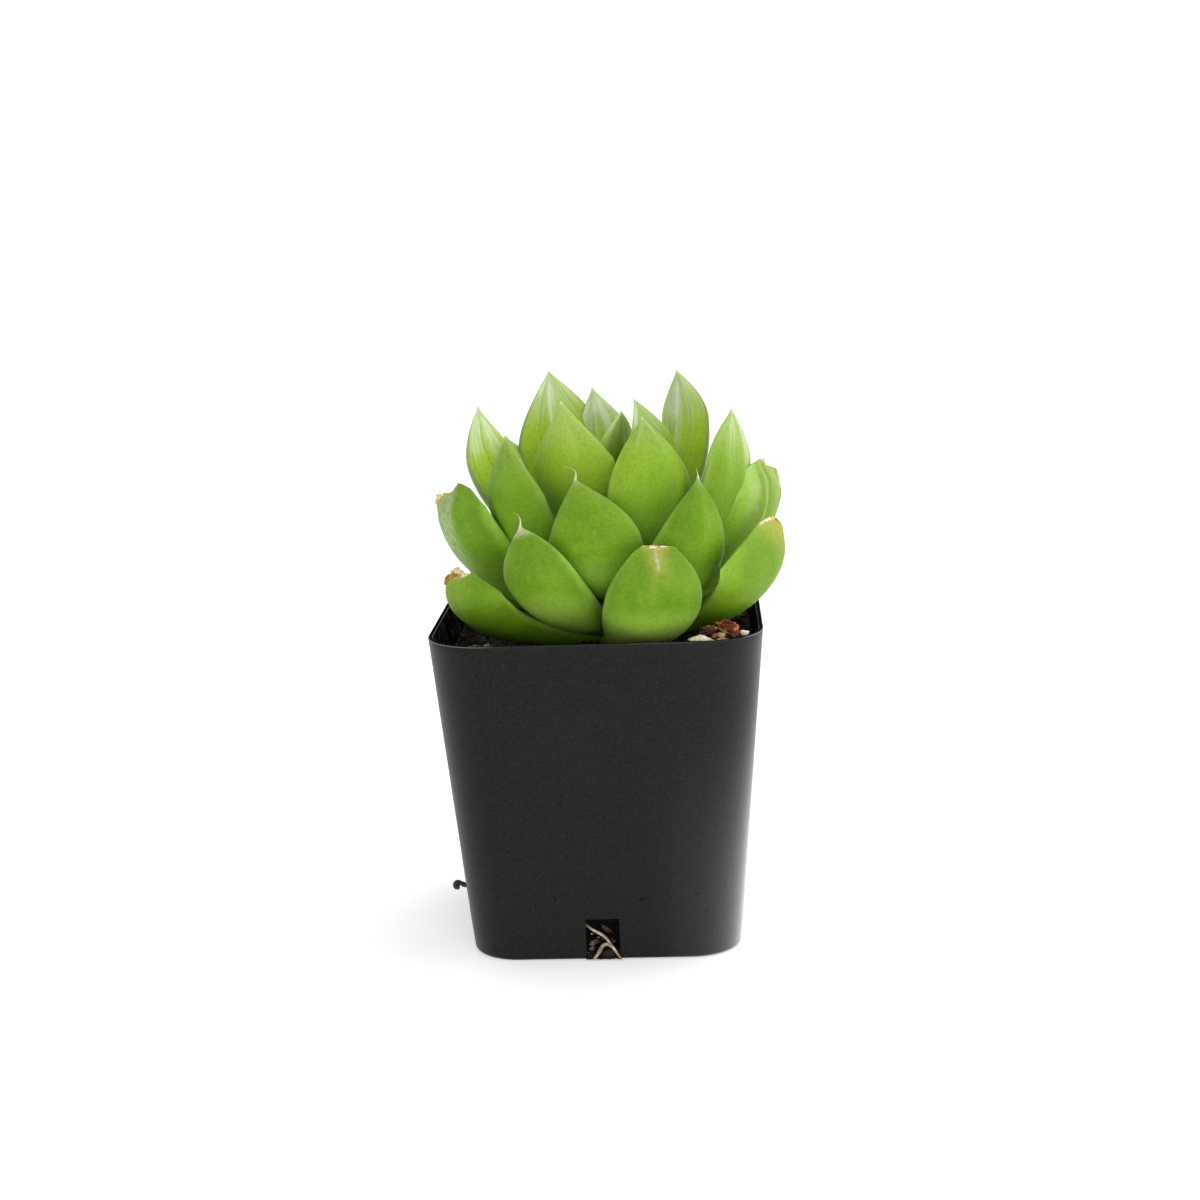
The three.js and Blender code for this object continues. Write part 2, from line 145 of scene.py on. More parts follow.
class Shader:
    """A material's node tree, with short calls for its nodes. Its color is painted in layers."""

    def __init__(self, name, color=None):
        self.material = bpy.data.materials.new(name)
        self.material.use_nodes = True
        self.tree = self.material.node_tree
        self.surface = self.tree.nodes["Principled BSDF"]
        self.color = color

    def add(self, kind, inputs=None, **settings):
        node = self.tree.nodes.new(kind)
        for key, value in settings.items():
            setattr(node, key, value)
        for key, value in (inputs or {}).items():
            self.feed(node.inputs[key], value)
        return node

    def feed(self, socket, value):
        if isinstance(value, bpy.types.NodeSocket):
            self.tree.links.new(value, socket)
        else:
            socket.default_value = value

    def set(self, **inputs):
        for key, value in inputs.items():
            self.feed(self.surface.inputs[key.replace("_", " ")], value)

    def math(self, operation, a, b=0.0):
        return self.add("ShaderNodeMath", {0: a, 1: b}, operation=operation).outputs[0]

    def times(self, product, *others):
        for other in others:
            product = self.math("MULTIPLY", product, other)
        return product

    def plus(self, a, b):
        return self.math("ADD", a, b)

    def swing(self, value, size):
        """A value of 0 to 1, shifted to swing around 0, and scaled."""
        return self.times(self.math("SUBTRACT", value, 0.5), size)

    def step(self, value, low, high, to_low=0.0, to_high=1.0):
        inputs = {"Value": value, "From Min": low, "From Max": high, "To Min": to_low, "To Max": to_high}
        node = self.add("ShaderNodeMapRange", inputs, interpolation_type="SMOOTHSTEP")
        return node.outputs["Result"]

    def mix(self, share, a, b):
        node = self.add("ShaderNodeMix", data_type="RGBA", blend_type="MIX")
        self.feed(node.inputs["Factor"], share)
        self.feed(node.inputs["A"], as_color(a))
        self.feed(node.inputs["B"], as_color(b))
        return node.outputs["Result"]

    def paint(self, share, tone):
        """Lays a tone over the color so far."""
        self.color = self.mix(share, self.color, tone)

    def tint(self, tone, value, low, high, to_low=0.0, to_high=1.0):
        """Lays a tone over the color so far by a share that follows a value."""
        self.paint(self.step(value, low, high, to_low, to_high), tone)

    def noise(self, scale, detail=3.0, roughness=0.5, vector=None):
        """Soft random patches, on the piece itself where no other vector is given."""
        vector = self.place if vector is None else vector
        inputs = {"Vector": vector, "Scale": scale, "Detail": detail, "Roughness": roughness}
        return self.add("ShaderNodeTexNoise", inputs).outputs["Fac"]

    def vector(self, x, y, z=0.0):
        return self.add("ShaderNodeCombineXYZ", {"X": x, "Y": y, "Z": z}).outputs["Vector"]

    def uv(self, name):
        """The two values stored in one of the piece's UV maps."""
        return self.split(self.add("ShaderNodeUVMap", uv_map=name).outputs["UV"])

    def split(self, vector):
        return self.add("ShaderNodeSeparateXYZ", {"Vector": vector}).outputs

    @cached_property
    def place(self):
        """Position on the piece in metres."""
        return self.add("ShaderNodeTexCoord").outputs["Object"]

    @cached_property
    def normal(self):
        return self.add("ShaderNodeNewGeometry").outputs["Normal"]

    def finish(self, roughness, shine, height, strength, depth):
        """Sets the color, the shine and a relief of a height and depth, and gives the material."""
        self.set(Base_Color=self.color, Roughness=roughness, Specular_IOR_Level=shine)
        relief = {"Height": height, "Strength": strength, "Distance": depth}
        self.set(Normal=self.add("ShaderNodeBump", relief).outputs["Normal"])
        return self.material


def as_color(value):
    if isinstance(value, bpy.types.NodeSocket) or len(value) == 4:
        return value
    return (*value, 1.0)


# Camera: the photograph's own place and lens, fitted to the pot's corners

CAMERA_LENS = 60.7
CAMERA_SENSOR = 36.0
CAMERA_DISTANCE = 322.2
CAMERA_TARGET = (0.04, 0.0, 52.3)
CAMERA_AZIMUTH = 3.06
CAMERA_ELEVATION = 11.83
CAMERA_ROLL = -2.20


def make_camera():
    azimuth, elevation, roll = (math.radians(a) for a in (CAMERA_AZIMUTH, CAMERA_ELEVATION, CAMERA_ROLL))
    level = math.cos(elevation)
    back = Vector((math.sin(azimuth) * level, -math.cos(azimuth) * level, math.sin(elevation)))
    right = Vector((math.cos(azimuth), math.sin(azimuth), 0))
    up = back.cross(right)
    rolled_right = math.cos(roll) * right + math.sin(roll) * up
    rolled_up = math.cos(roll) * up - math.sin(roll) * right
    data = bpy.data.cameras.new("camera")
    data.sensor_width = CAMERA_SENSOR
    data.lens = CAMERA_LENS
    data.clip_start = 0.01
    camera = bpy.data.objects.new("camera", data)
    turn = Matrix((rolled_right, rolled_up, back)).transposed().to_4x4()
    place = (Vector(CAMERA_TARGET) + back * CAMERA_DISTANCE) * MM
    camera.matrix_world = Matrix.Translation(place) @ turn
    bpy.context.scene.collection.objects.link(camera)
    bpy.context.scene.camera = camera


# Studio: white floor that curves up into a white wall, and soft lamps

FLOOR_HALF_WIDTH = 3.0
FLOOR_FRONT = -3.0
WALL_START = 1.2
WALL_RADIUS = 0.8
WALL_HEIGHT = 3.0
STUDIO_WHITE = (0.90, 0.90, 0.895)
STUDIO_GLOW = 0.29


def make_studio():
    bend = [math.pi / 2 * i / 24 for i in range(25)]
    profile = [(FLOOR_FRONT, 0.0)]
    profile += [(WALL_START + WALL_RADIUS * math.sin(a), WALL_RADIUS * (1 - math.cos(a))) for a in bend]
    profile.append((WALL_START + WALL_RADIUS, WALL_HEIGHT))
    vertices = [(x, y, z) for y, z in profile for x in (-FLOOR_HALF_WIDTH, FLOOR_HALF_WIDTH)]
    faces = [(2 * i, 2 * i + 1, 2 * i + 3, 2 * i + 2) for i in range(len(profile) - 1)]
    shader = Shader("studio_white")
    shader.set(Base_Color=(*STUDIO_WHITE, 1), Roughness=0.9)
    shader.set(Emission_Color=(1, 1, 1, 1), Emission_Strength=STUDIO_GLOW)
    floor = make_object("studio", np.array(vertices) / MM, faces, shader.material)


def make_lamp(name, place, size, power):
    data = bpy.data.lights.new(name, "AREA")
    data.shape = "DISK"
    data.size = size
    data.energy = power
    lamp = bpy.data.objects.new(name, data)
    lamp.location = place
    lamp.rotation_euler = (Vector(LAMP_AIM) - Vector(place)).to_track_quat("-Z", "Y").to_euler()
    bpy.context.scene.collection.objects.link(lamp)


# Each lamp: its name, place and width in metres, and power in watts. All of them face the plant.
LAMPS = [
    ("top_lamp", (0.30, 0.20, 0.85), 0.60, 2.0),
    ("right_lamp", (0.75, -0.05, 0.22), 0.40, 1.5),
    ("front_lamp", (0.05, -0.90, 0.45), 0.80, 1.3),
    ("low_lamp", (0.20, -0.90, 0.08), 0.60, 2.2),
]
LAMP_AIM = (0.0, 0.0, 0.06)
WORLD_STRENGTH = 0.80


def make_lights():
    for lamp in LAMPS:
        make_lamp(*lamp)
    world = bpy.data.worlds.new("studio_air")
    world.use_nodes = True
    air = world.node_tree.nodes["Background"].inputs
    air["Color"].default_value = (1, 1, 1, 1)
    air["Strength"].default_value = WORLD_STRENGTH
    bpy.context.scene.world = world
    bpy.context.scene.view_settings.view_transform = "Standard"


# Leaves

AXIS_X = 2.0
RIM_HEIGHT = 51.0
FIRST_LEAF_HEIGHT = 46.5
STEM_TOP = 62.0
OLDEST_BASE_REACH = 4.0
YOUNGEST_BASE_REACH = 1.0
BELLY_HEIGHT_SHARE = 0.42
BASE_WIDTH_SHARE = 0.5
WIDTH_SWELL = 1.6
BASE_DEPTH_SHARE = 0.62
DEEPEST = 0.5
OUTER_FACE_SHARE = 0.62
OUTER_ROUNDNESS = 1.25
INNER_ROUNDNESS = 1.5
STATION_CROWDING = 1.25
LEAF_STATIONS = 84
LEAF_SIDES = 48
BRISTLE_STATIONS = 12
BRISTLE_BASE = 0.24
BRISTLE_TIP = 0.03
BRISTLE_TAPER = 2.6
BRISTLE_LEAST = 0.2
BRISTLE_LEAN = 0.2
# How bristles curl over: a little away from the side first, then hooked to it.
CURL_POWER = 3.0
CURL_START = 0.55
# The length of the skin's net that the bristle takes, against the leaf's.
BRISTLE_SHARE = 0.2
NET_LENGTH = 1 + BRISTLE_SHARE
SKIN_UNDULATION = 0.10
SKIN_WAVE = 7.0
SKIN_INSET = 0.01
OUTER_FLATNESS = 0.92
# Shares of the length: where the leaf's end starts, where a withered leaf starts to reach for its
# dried edge, and where the section starts to turn from a lens into an oval.
END_START = 0.85
CUT_START = 0.45
BLUNT_START = 0.9

LEAF_FIELDS = ("bearing", "tip_turn", "tip_reach", "tip_rise", "belly_reach", "width", "thickness",
               "roll", "widest", "narrowing", "bristle", "curl", "light", "window", "bloom")
# One row a leaf, from the oldest and lowest to the youngest. The first ten fields are the solid's
# own. bristle is the length of the tip's bristle in millimetres, curl hooks it to the left or
# right, light is how pale the flesh is towards the end, partly painted light as it is set higher on
# the leaves that sit in shade, window how white and clear the leaf's end is, and bloom how much
# waxy blue-grey its lower front has and how much painted bounce light its downward faces get.
LEAF_ROWS = [
    (288, 0, 23.7, 14.3, 21.1, 14.7, 6.5, 8, 0.56, 2.6, 0, 0, 0.02, 0, 0.2),
    (213, 3, 24.2, 9.3, 20.9, 13.7, 5, -15, 0.7, 2.7, 0, 0, 0.02, 0, 0),
    (329, -8, 27, 14.4, 22.2, 16, 5.5, -2, 0.84, 2.6, 0, 0, 0.08, 0, 0),
    (65, 0, 24, 13, 19, 13.5, 6, 0, 0.62, 1.7, 1.2, 0.3, 0.3, 0.1, 0.1),
    (115, 0, 24.5, 12, 19, 13.5, 6, 0, 0.62, 1.7, 1.5, -0.4, 0.3, 0.1, 0.1),
    (244, -7, 22.8, 16.7, 18.6, 13, 6.3, -11, 0.54, 2.5, 2.5, -0.75, 0.02, 0, 0.06),
    (28, 0, 25, 11, 19, 13.5, 6, 0, 0.66, 2.6, 0, 0, 0.2, 0.1, 0.1),
    (158, 0, 24, 9, 18, 13.5, 6, 0, 0.6, 1.8, 1.2, 0.3, 0.2, 0.1, 0.1),
    (193, 0, 23.9, 21.3, 18.1, 13.7, 6.3, -33, 0.72, 2.7, 0, 0, 0, 0, 0.05),
    (358, 2, 24.1, 23, 18.4, 14.8, 6.3, 34, 0.68, 2.8, 0, 0, 0.12, 0.1, 0),
    (307, 10, 19.4, 22.3, 18.9, 12.9, 6.6, 23, 0.46, 2.1, 1.8, -0.1, 0.03, 0, 0.05),
    (88, 0, 22, 20.5, 18, 13.5, 6, 0, 0.62, 1.7, 1.4, 0.5, 0.4, 0.3, 0.1),
    (133, 0, 21.5, 18, 17.5, 13.5, 6, 0, 0.6, 1.8, 1, -0.3, 0.4, 0.3, 0.1),
    (48, 0, 21, 18.5, 17, 13.5, 6, 0, 0.64, 1.7, 1.2, 0.4, 0.4, 0.3, 0.1),
    (266, -11, 16.1, 23, 16.9, 14.4, 6, -15, 0.56, 1.9, 2.9, -0.85, 0.05, 0, 0.05),
    (213, -3, 17.1, 28.9, 14, 13, 6.5, -18, 0.68, 1.35, 0.7, 0.1, 0.06, 0.06, 0.05),
    (342, 10, 19.8, 31.2, 16.3, 13.7, 6, 21, 0.78, 1.6, 0.9, -0.1, 0.2, 0.3, 0.05),
    (151, 11, 17.3, 27.1, 13.2, 12.8, 5.5, 7, 0.7, 1.75, 0.6, 0.2, 0.5, 0.3, 0.1),
    (162, -1, 21.9, 31.7, 16, 12, 5.5, 14, 0.72, 1.65, 0.6, 0.1, 0.9, 0.85, 0.05),
    (70, 0, 17, 24, 14.5, 12.5, 5.5, 0, 0.64, 1.7, 0.8, -0.3, 0.5, 0.4, 0.1),
    (34, 8, 15.1, 36.3, 13.3, 11.7, 4.6, 2, 0.8, 1.75, 0.7, -0.2, 1, 0.78, 0.05),
    (93, 9, 12.1, 33.7, 12.2, 12.7, 5.5, -2, 0.66, 1.4, 0.6, 0.3, 1, 1, 0),
    (123, 11, 13.3, 36.9, 12.1, 15.2, 5.5, 18, 0.67, 1.55, 0.5, 0.2, 0.85, 0.85, 0),
    (242, -8, 10.7, 33.9, 8, 14.6, 5.5, -10, 0.7, 1.15, 0.3, 0, 0.42, 0.22, 0.05),
    (300, 4, 10.6, 31.1, 12.6, 14.7, 6, 0, 0.6, 1.85, 0.4, -0.2, 0.24, 0.08, 0.05),
    (338, -12, 5.7, 33.3, 7.7, 12.1, 4.5, 2, 0.69, 1.7, 0.6, -0.4, 0.18, 0.42, 0),
    (265, 42, 4.4, 31.6, 1.5, 13.4, 3.6, -30, 0.8, 1.7, 0.5, 0.2, 0.42, 0.2, 0),
    (130, 0, 3.5, 25, 4, 7, 3.5, 0, 0.66, 1.6, 0.4, 0, 0.4, 0.3, 0),
]
# The pointed leaf whose tip is dry and tan.
OLD_TIP_LEAF = 6
# Soft streaks and patches: leaf number, middle and half width as shares of the half width, the
# shares of the length where it starts and is full, strength, and its kind.
STREAKS = [
    (1, 0.06, 0.44, 0.76, 0.94, 0.85, "tan"),
    (1, 0.03, 0.08, 0.83, 0.9, 0.36, "white"),
    (3, 0.8, 0.45, 0.76, 0.95, 0.75, "tan"),
    (9, -0.4, 0.6, 0.45, 0.8, 0.32, "white"),
    (9, -0.75, 0.3, 0.84, 0.95, 0.6, "tan"),
    (10, -0.5, 0.26, 0.6, 0.88, 0.24, "white"),
    (10, -0.12, 0.06, 0.45, 0.7, 0.34, "white"),
    (10, -0.27, 0.05, 0.66, 0.9, 0.4, "green"),
    (10, 0.02, 0.06, 0.56, 0.86, 0.48, "green"),
    (10, 0.26, 0.05, 0.7, 0.92, 0.34, "green"),
    (10, 0.05, 0.16, 0.9, 0.98, 0.6, "tan"),
    (10, -0.1, 1.2, 0.4, 0.7, 0.16, "tan"),
    (10, -0.1, 1.2, 0.4, 0.7, 0.2, "green"),
    (19, 0, 0.24, 0.45, 0.85, 0.42, "white"),
    (19, 0.34, 0.08, 0.45, 0.75, 0.34, "green"),
    (21, 0.5, 0.3, 0.3, 0.6, 0.32, "green"),
    (21, 0.26, 0.06, 0.5, 0.8, 0.4, "green"),
    (21, -0.04, 0.1, 0.45, 0.8, 0.3, "white"),
    (27, 0.25, 0.1, 0.5, 0.85, 0.45, "white"),
]
# How the depth goes down to the end: its power and the roundness.
POINTED_DEPTH = (1.9, 1.0)
WITHERED_DEPTH = (2.4, 0.7)
# Dried ends by leaf number, as points read across the end from its left edge to its right one:
# place across in half widths, where the end is cut off as a share of the length, how many
# millimetres the dried skin goes down from there (below zero where there is none), how brown it is.
DRIED_ENDS = {
    1: [
        (-0.95, 0.962, -4, 0.2), (-0.4, 0.964, -3, 0.4), (-0.22, 0.994, 0.05, 0.4),
        (-0.1, 0.989, 0.3, 0.5), (-0.04, 0.986, 0.45, 0.4), (0.06, 0.984, 0.5, 0.3),
        (0.13, 0.982, 0.3, 0.4), (0.3, 0.974, 0, 0.2), (0.42, 0.972, -2, 0.3), (0.95, 0.972, -4, 0.3)],
    2: [
        (-1, 0.79, 1.6, 0.9), (-0.92, 0.82, 2, 0.9), (-0.78, 0.875, 2.2, 0.8), (-0.66, 0.91, 2.2, 0.7),
        (-0.5, 0.925, 2, 0.45), (-0.36, 0.93, 1.4, 0.35), (-0.22, 0.945, 0.4, 0.5),
        (-0.1, 0.962, -2, 0.5), (0, 0.966, -4, 0.3), (0.95, 0.92, -4, 0.2)],
    3: [
        (-0.95, 0.962, -4, 0.1), (0, 0.97, -4, 0.1), (0.28, 0.975, -2, 0), (0.42, 0.974, 0.1, 0),
        (0.68, 0.958, 0.2, 0.1), (0.86, 0.943, 0.7, 0.5), (0.97, 0.91, 0.9, 0.6), (1.04, 0.85, 0.5, 0.6)],
    7: [
        (-0.95, 0.9, 0.6, 0.5), (-0.4, 0.98, 1.2, 0.6), (0.1, 0.96, 1.6, 0.4), (0.5, 0.975, 1, 0.7),
        (0.95, 0.9, 0.5, 0.5)],
    9: [
        (-0.95, 0.88, 0.6, 0.4), (-0.86, 0.917, 1.1, 0.3), (-0.74, 0.938, 1, 0.3),
        (-0.55, 0.953, 0.5, 0.4), (-0.38, 0.951, 0.1, 0.7), (-0.18, 0.962, -0.1, 0.7),
        (-0.02, 0.985, -0.5, 0.1), (0.06, 1.012, -2.5, 0.1), (0.28, 0.998, -3, 0.1),
        (0.48, 0.978, -4, 0.1), (0.95, 0.84, -4, 0.1)],
    10: [
        (-0.95, 0.9, -4, 0.2), (-0.38, 0.978, -3, 0.3), (-0.15, 0.992, -0.8, 0.4),
        (0.04, 1.01, 0.6, 0.45), (0.12, 0.99, 0.7, 0.3), (0.22, 0.972, 0.2, 0.3),
        (0.38, 0.965, -0.3, 0.4), (0.62, 0.956, -0.4, 0.5), (0.84, 0.906, -3, 0.2), (1, 0.84, -4, 0.2)],
}
DRIED_END_WIDTHS = {1: 0.40, 2: 0.85, 3: 1.02, 7: 0.85, 9: 0.88, 10: 0.85}
DRIED_THIN = 0.80
DRIED_RAGGEDNESS = 0.002
DRIED_RANGE = 5.0
# Crumbs of dead skin on those ends, in bands: leaf number, places across from and to in half
# widths, millimetres down from the edge from and to, smallest and largest size, and how many.
BROWN_CRUST = [
    (2, -1, -0.66, -0.1, 1.5, 0.45, 0.95, 34),
    (2, -0.66, -0.45, 0.7, 1.6, 0.35, 0.7, 12),
    (3, 0.84, 1, 0.1, 0.4, 0.2, 0.35, 6),
    (9, -0.9, -0.58, 0.1, 0.4, 0.25, 0.4, 3),
    (10, -0.02, 0.08, 0.1, 0.5, 0.18, 0.28, 4),
]
CREAM_CRUST = [
    (1, -0.1, 0.03, 0, 0.5, 0.18, 0.32, 10),
    (1, 0, 0.1, 0.4, 1.1, 0.16, 0.28, 9),
    (2, -0.76, -0.34, -0.5, 0.6, 0.4, 0.85, 28),
    (3, 0.44, 0.56, -0.05, 0.1, 0.2, 0.3, 3),
    (9, -0.88, -0.64, -0.35, 0.3, 0.3, 0.6, 10),
    (9, 0.05, 0.12, -0.2, 0.1, 0.25, 0.35, 3),
    (10, 0.05, 0.11, 0, 0.3, 0.2, 0.3, 3),
]
LEAVES = [
    SimpleNamespace(order=i, number=i + 1, seed=SEED + i, withered=i + 1 in DRIED_ENDS,
                    **dict(zip(LEAF_FIELDS, row)))
    for i, row in enumerate(LEAF_ROWS)]


def leaf_name(leaf):
    return f"leaf_{leaf.number:02d}"


def polar(bearing, reach, height):
    angle = math.radians(bearing)
    return np.array([AXIS_X + reach * math.cos(angle), reach * math.sin(angle), height])


def leaf_line(leaf, s):
    """Points and directions along a leaf's middle line, a quadratic curve base, bend, tip."""
    age = leaf.order / (len(LEAVES) - 1)
    reach = OLDEST_BASE_REACH + age * (YOUNGEST_BASE_REACH - OLDEST_BASE_REACH)
    base = polar(leaf.bearing, reach, FIRST_LEAF_HEIGHT + age * (STEM_TOP - FIRST_LEAF_HEIGHT))
    tip = polar(leaf.bearing + leaf.tip_turn, leaf.tip_reach, RIM_HEIGHT + leaf.tip_rise)
    belly_height = base[2] + BELLY_HEIGHT_SHARE * (tip[2] - base[2])
    bend = 2 * polar(leaf.bearing, leaf.belly_reach, belly_height) - (base + tip) / 2
    s = s[:, None]
    points = (1 - s) ** 2 * base + 2 * s * (1 - s) * bend + s ** 2 * tip
    ways = 2 * (1 - s) * (bend - base) + 2 * s * (tip - bend)
    return points, unit(ways)


def leaf_axes(leaf, ways):
    """Width direction and inner normal at each point, turned by the leaf's roll."""
    angle = math.radians(leaf.bearing + leaf.tip_turn)
    around = np.array([-math.sin(angle), math.cos(angle), 0.0])
    across = unit(around - ways * (ways @ around)[:, None])
    inward = np.cross(ways, across)
    roll = math.radians(leaf.roll)
    turned_inward = math.cos(roll) * inward + math.sin(roll) * across
    turned_across = math.cos(roll) * across - math.sin(roll) * inward
    return turned_across, turned_inward


def rise_to_peak(s, base, peak, power=1):
    """The share that a width or depth has before its peak, and how far past the peak s is."""
    swell = np.sin(math.pi / 2 * np.clip(s / peak, 0, 1)) ** power
    return base + (1 - base) * swell, np.clip((s - peak) / (1 - peak), 0, 1)


def width_share(leaf, s):
    swell, beyond = rise_to_peak(s, BASE_WIDTH_SHARE, leaf.widest, WIDTH_SWELL)
    left_at_end = DRIED_END_WIDTHS.get(leaf.number, 0)
    return np.where(s < leaf.widest, swell, 1 - (1 - left_at_end) * beyond ** leaf.narrowing)


def depth_share(leaf, s):
    power, roundness = WITHERED_DEPTH if leaf.withered else POINTED_DEPTH
    swell, beyond = rise_to_peak(s, BASE_DEPTH_SHARE, DEEPEST)
    return np.where(s < DEEPEST, swell, (1 - beyond ** power) ** roundness)


def dried_edge(leaf, place):
    """Cut-off share, depth of dried skin and brownness at places across a withered end."""
    rows = np.array(DRIED_ENDS[leaf.number])
    cut, depth, brown = (np.interp(place, rows[:, 0], rows[:, i]) for i in (1, 2, 3))
    ragged = wobble(np.stack([place, place * 0, place * 0], axis=1), 0.35, leaf.seed)
    return cut + DRIED_RAGGEDNESS * ragged * np.maximum(depth, 0), depth, brown


def cut_to_edge(leaf, s, side, width):
    """Shares of the length, moved so that a withered leaf's last ring lies on its dried edge."""
    def between_edges(half_width):
        left, right = (dried_edge(leaf, sign * half_width)[0] for sign in (-1, 1))
        return left + (right - left) * (side + 1) / 2

    at_end = between_edges(np.full_like(s, DRIED_END_WIDTHS[leaf.number]))
    middle = dried_edge(leaf, side * width)[0] - between_edges(width)
    return s + (middle + at_end - 1) * smoothstep(CUT_START, 1.0, s)


def leaf_surface(leaf, s, turn):
    """Points of the leaf's skin at shares of its length and turns around its section."""
    side, lift = np.cos(turn), np.abs(np.sin(turn))
    width = width_share(leaf, s)
    depth = leaf.thickness * depth_share(leaf, s)
    if leaf.withered:
        depth *= 1 - DRIED_THIN * smoothstep(END_START, 1.0, s)
        s = cut_to_edge(leaf, s, side, width)
    points, ways = leaf_line(leaf, s)
    across, inward = leaf_axes(leaf, ways)
    half = np.hypot(leaf.width / 2 * width, BRISTLE_BASE) - SKIN_INSET
    outer = np.hypot(depth * OUTER_FACE_SHARE * OUTER_FLATNESS, BRISTLE_BASE)
    inner = np.hypot(depth * (1 - OUTER_FACE_SHARE), BRISTLE_BASE)
    outward = np.sin(turn) < 0
    roundness = np.where(outward, OUTER_ROUNDNESS, INNER_ROUNDNESS)
    roundness = roundness + smoothstep(BLUNT_START, 1.0, s) * (1 - roundness)
    rise = np.where(outward, -outer, inner) * lift ** roundness
    skin = points + across * (side * half)[:, None] + inward * rise[:, None]
    waves = 1 + wobble(skin, SKIN_WAVE, leaf.seed)
    sunk = SKIN_UNDULATION * waves * (1 - smoothstep(END_START, 1.0, s))
    return skin - inward * (sunk * np.sign(rise) * lift)[:, None]


def bristle_rings(leaf):
    """Ever thinner rings along the curl of the bristle."""
    tip, way = leaf_line(leaf, np.array([1.0]))
    across, inward = leaf_axes(leaf, way)
    length = max(leaf.bristle, BRISTLE_LEAST)
    t = np.linspace(0, 1, BRISTLE_STATIONS + 1)[1:, None]
    hook = leaf.curl * (t ** CURL_POWER - CURL_START * t)
    line = tip + length * (t * way + hook * across + BRISTLE_LEAN * t ** 2 * inward)
    radius = BRISTLE_TIP + (BRISTLE_BASE - BRISTLE_TIP) * (1 - t) ** BRISTLE_TAPER
    turn = full_turn(LEAF_SIDES)[:, None]
    circle = np.cos(turn) * across + np.sin(turn) * inward
    return line[:, None, :] + radius[:, :, None] * circle[None, :, :], t[:, 0]


def make_leaf(leaf):
    stations = 1 - (1 - np.linspace(0, 1, LEAF_STATIONS)) ** STATION_CROWDING
    turns = full_turn(LEAF_SIDES)[::-1]
    s, turn = (grid.ravel() for grid in np.meshgrid(stations, turns, indexing="ij"))
    rings = leaf_surface(leaf, s, turn).reshape(LEAF_STATIONS, LEAF_SIDES, 3)
    if not leaf.withered:
        bristle, t = bristle_rings(leaf)
        rings = np.concatenate([rings, bristle[:, ::-1, :]])
        stations = np.concatenate([stations, 1 + t * BRISTLE_SHARE])
    vertices, faces = loft(rings, zipped=leaf.withered)
    piece = make_object(leaf_name(leaf) + "_flesh", vertices, faces, leaf_material(leaf))
    caps = len(vertices) - len(stations) * LEAF_SIDES
    along = np.append(np.repeat(stations, LEAF_SIDES), [0, 1 + BRISTLE_SHARE][:caps])
    waves = [np.tile(wave(turns), len(stations)) for wave in (np.cos, np.sin)]
    across, inner = (np.append(wave, [0] * caps) for wave in waves)
    write_uv(piece, "net", along / NET_LENGTH, across / 2 + 0.5)
    write_uv(piece, "side", inner / 2 + 0.5, closeness(leaf, vertices))
    if leaf.withered:
        _, depth, brown = dried_edge(leaf, across * width_share(leaf, along))
        from_edge = (1 - along) * leaf_length(leaf)
        write_uv(piece, "dried", np.clip(0.5 + (from_edge - depth) / DRIED_RANGE, 0, 1), brown)
    finish_piece(piece, "leaf", leaf_name(leaf))


def leaf_length(leaf):
    points, _ = leaf_line(leaf, np.linspace(0, 1, 20))
    return np.linalg.norm(np.diff(points, axis=0), axis=1).sum()


def closeness(leaf, vertices):
    """How deep each vertex sits among the younger leaves: 0 in the open, 1 where leaves touch."""
    deep = np.zeros(len(vertices))
    shares = np.linspace(0, 1, CLOSE_STATIONS)
    for other in LEAVES[leaf.number:]:
        points, _ = leaf_line(other, shares)
        for point, width in zip(points, width_share(other, shares)):
            reach = other.width / 2 * width + other.thickness / 4
            away = np.linalg.norm(vertices - point, axis=1)
            deep = np.maximum(deep, 1 - smoothstep(TOUCHING * reach, CLOSE * reach, away))
    return deep


def write_uv(piece, name, u, v):
    """Stores two values a vertex as a UV map."""
    corners = np.zeros(len(piece.data.loops), dtype=np.int32)
    piece.data.loops.foreach_get("vertex_index", corners)
    layer = piece.data.uv_layers.new(name=name)
    layer.data.foreach_set("uv", np.stack([u[corners], v[corners]], axis=1).astype(np.float32).ravel())


# Another leaf touches and is close within these shares of its own reach.
TOUCHING = 0.45
CLOSE = 0.95
CLOSE_STATIONS = 24

# LEAF_DEEP is the green of the dark mottles, and painted shade at the base of each leaf.
LEAF_DEEP = (0.070, 0.185, 0.003)
LEAF_GREEN = (0.097, 0.218, 0.006)
LEAF_LIGHT = (0.400, 0.600, 0.036)
LEAF_PALE = (0.420, 0.560, 0.120)
LEAF_WHITE = (0.740, 0.780, 0.590)
LEAF_CLEAR = (0.580, 0.650, 0.400)
LEAF_MARGIN = (0.310, 0.440, 0.120)
LEAF_TIP = (0.330, 0.440, 0.200)
LEAF_DULL = (0.230, 0.240, 0.170)
LEAF_VEIN = (0.190, 0.330, 0.030)
# The next two colours are painted bounce light: one for faces turned down to the floor, one for where
# leaves sit close together and for the lower middle of pointed leaves.
LEAF_BOUNCE_FROM_BELOW = (0.330, 0.510, 0.075)
LEAF_PAINTED_BOUNCE = (0.360, 0.700, 0.050)
BRISTLE_GREY = (0.520, 0.520, 0.470)
LEAF_BLOOM = (0.300, 0.420, 0.210)
BRISTLE_CREAM = (0.560, 0.590, 0.340)
DRY_CREAM = (0.780, 0.700, 0.460)
DRY_BROWN = (0.330, 0.215, 0.030)
DRY_TAN = (0.400, 0.360, 0.085)
OLD_TIP = (0.600, 0.560, 0.320)
STREAK_COLORS = {"white": LEAF_WHITE, "green": LEAF_GREEN, "tan": DRY_TAN}
LEAF_ROUGHNESS = 0.50
LEAF_SHINE = 0.09
CRUST_ROUGHNESS = 0.85
# Noise scales are in waves a metre: broad clouds and fine mottles.
LEAF_CLOUDS = 130.0
LEAF_MOTTLES = 2000.0
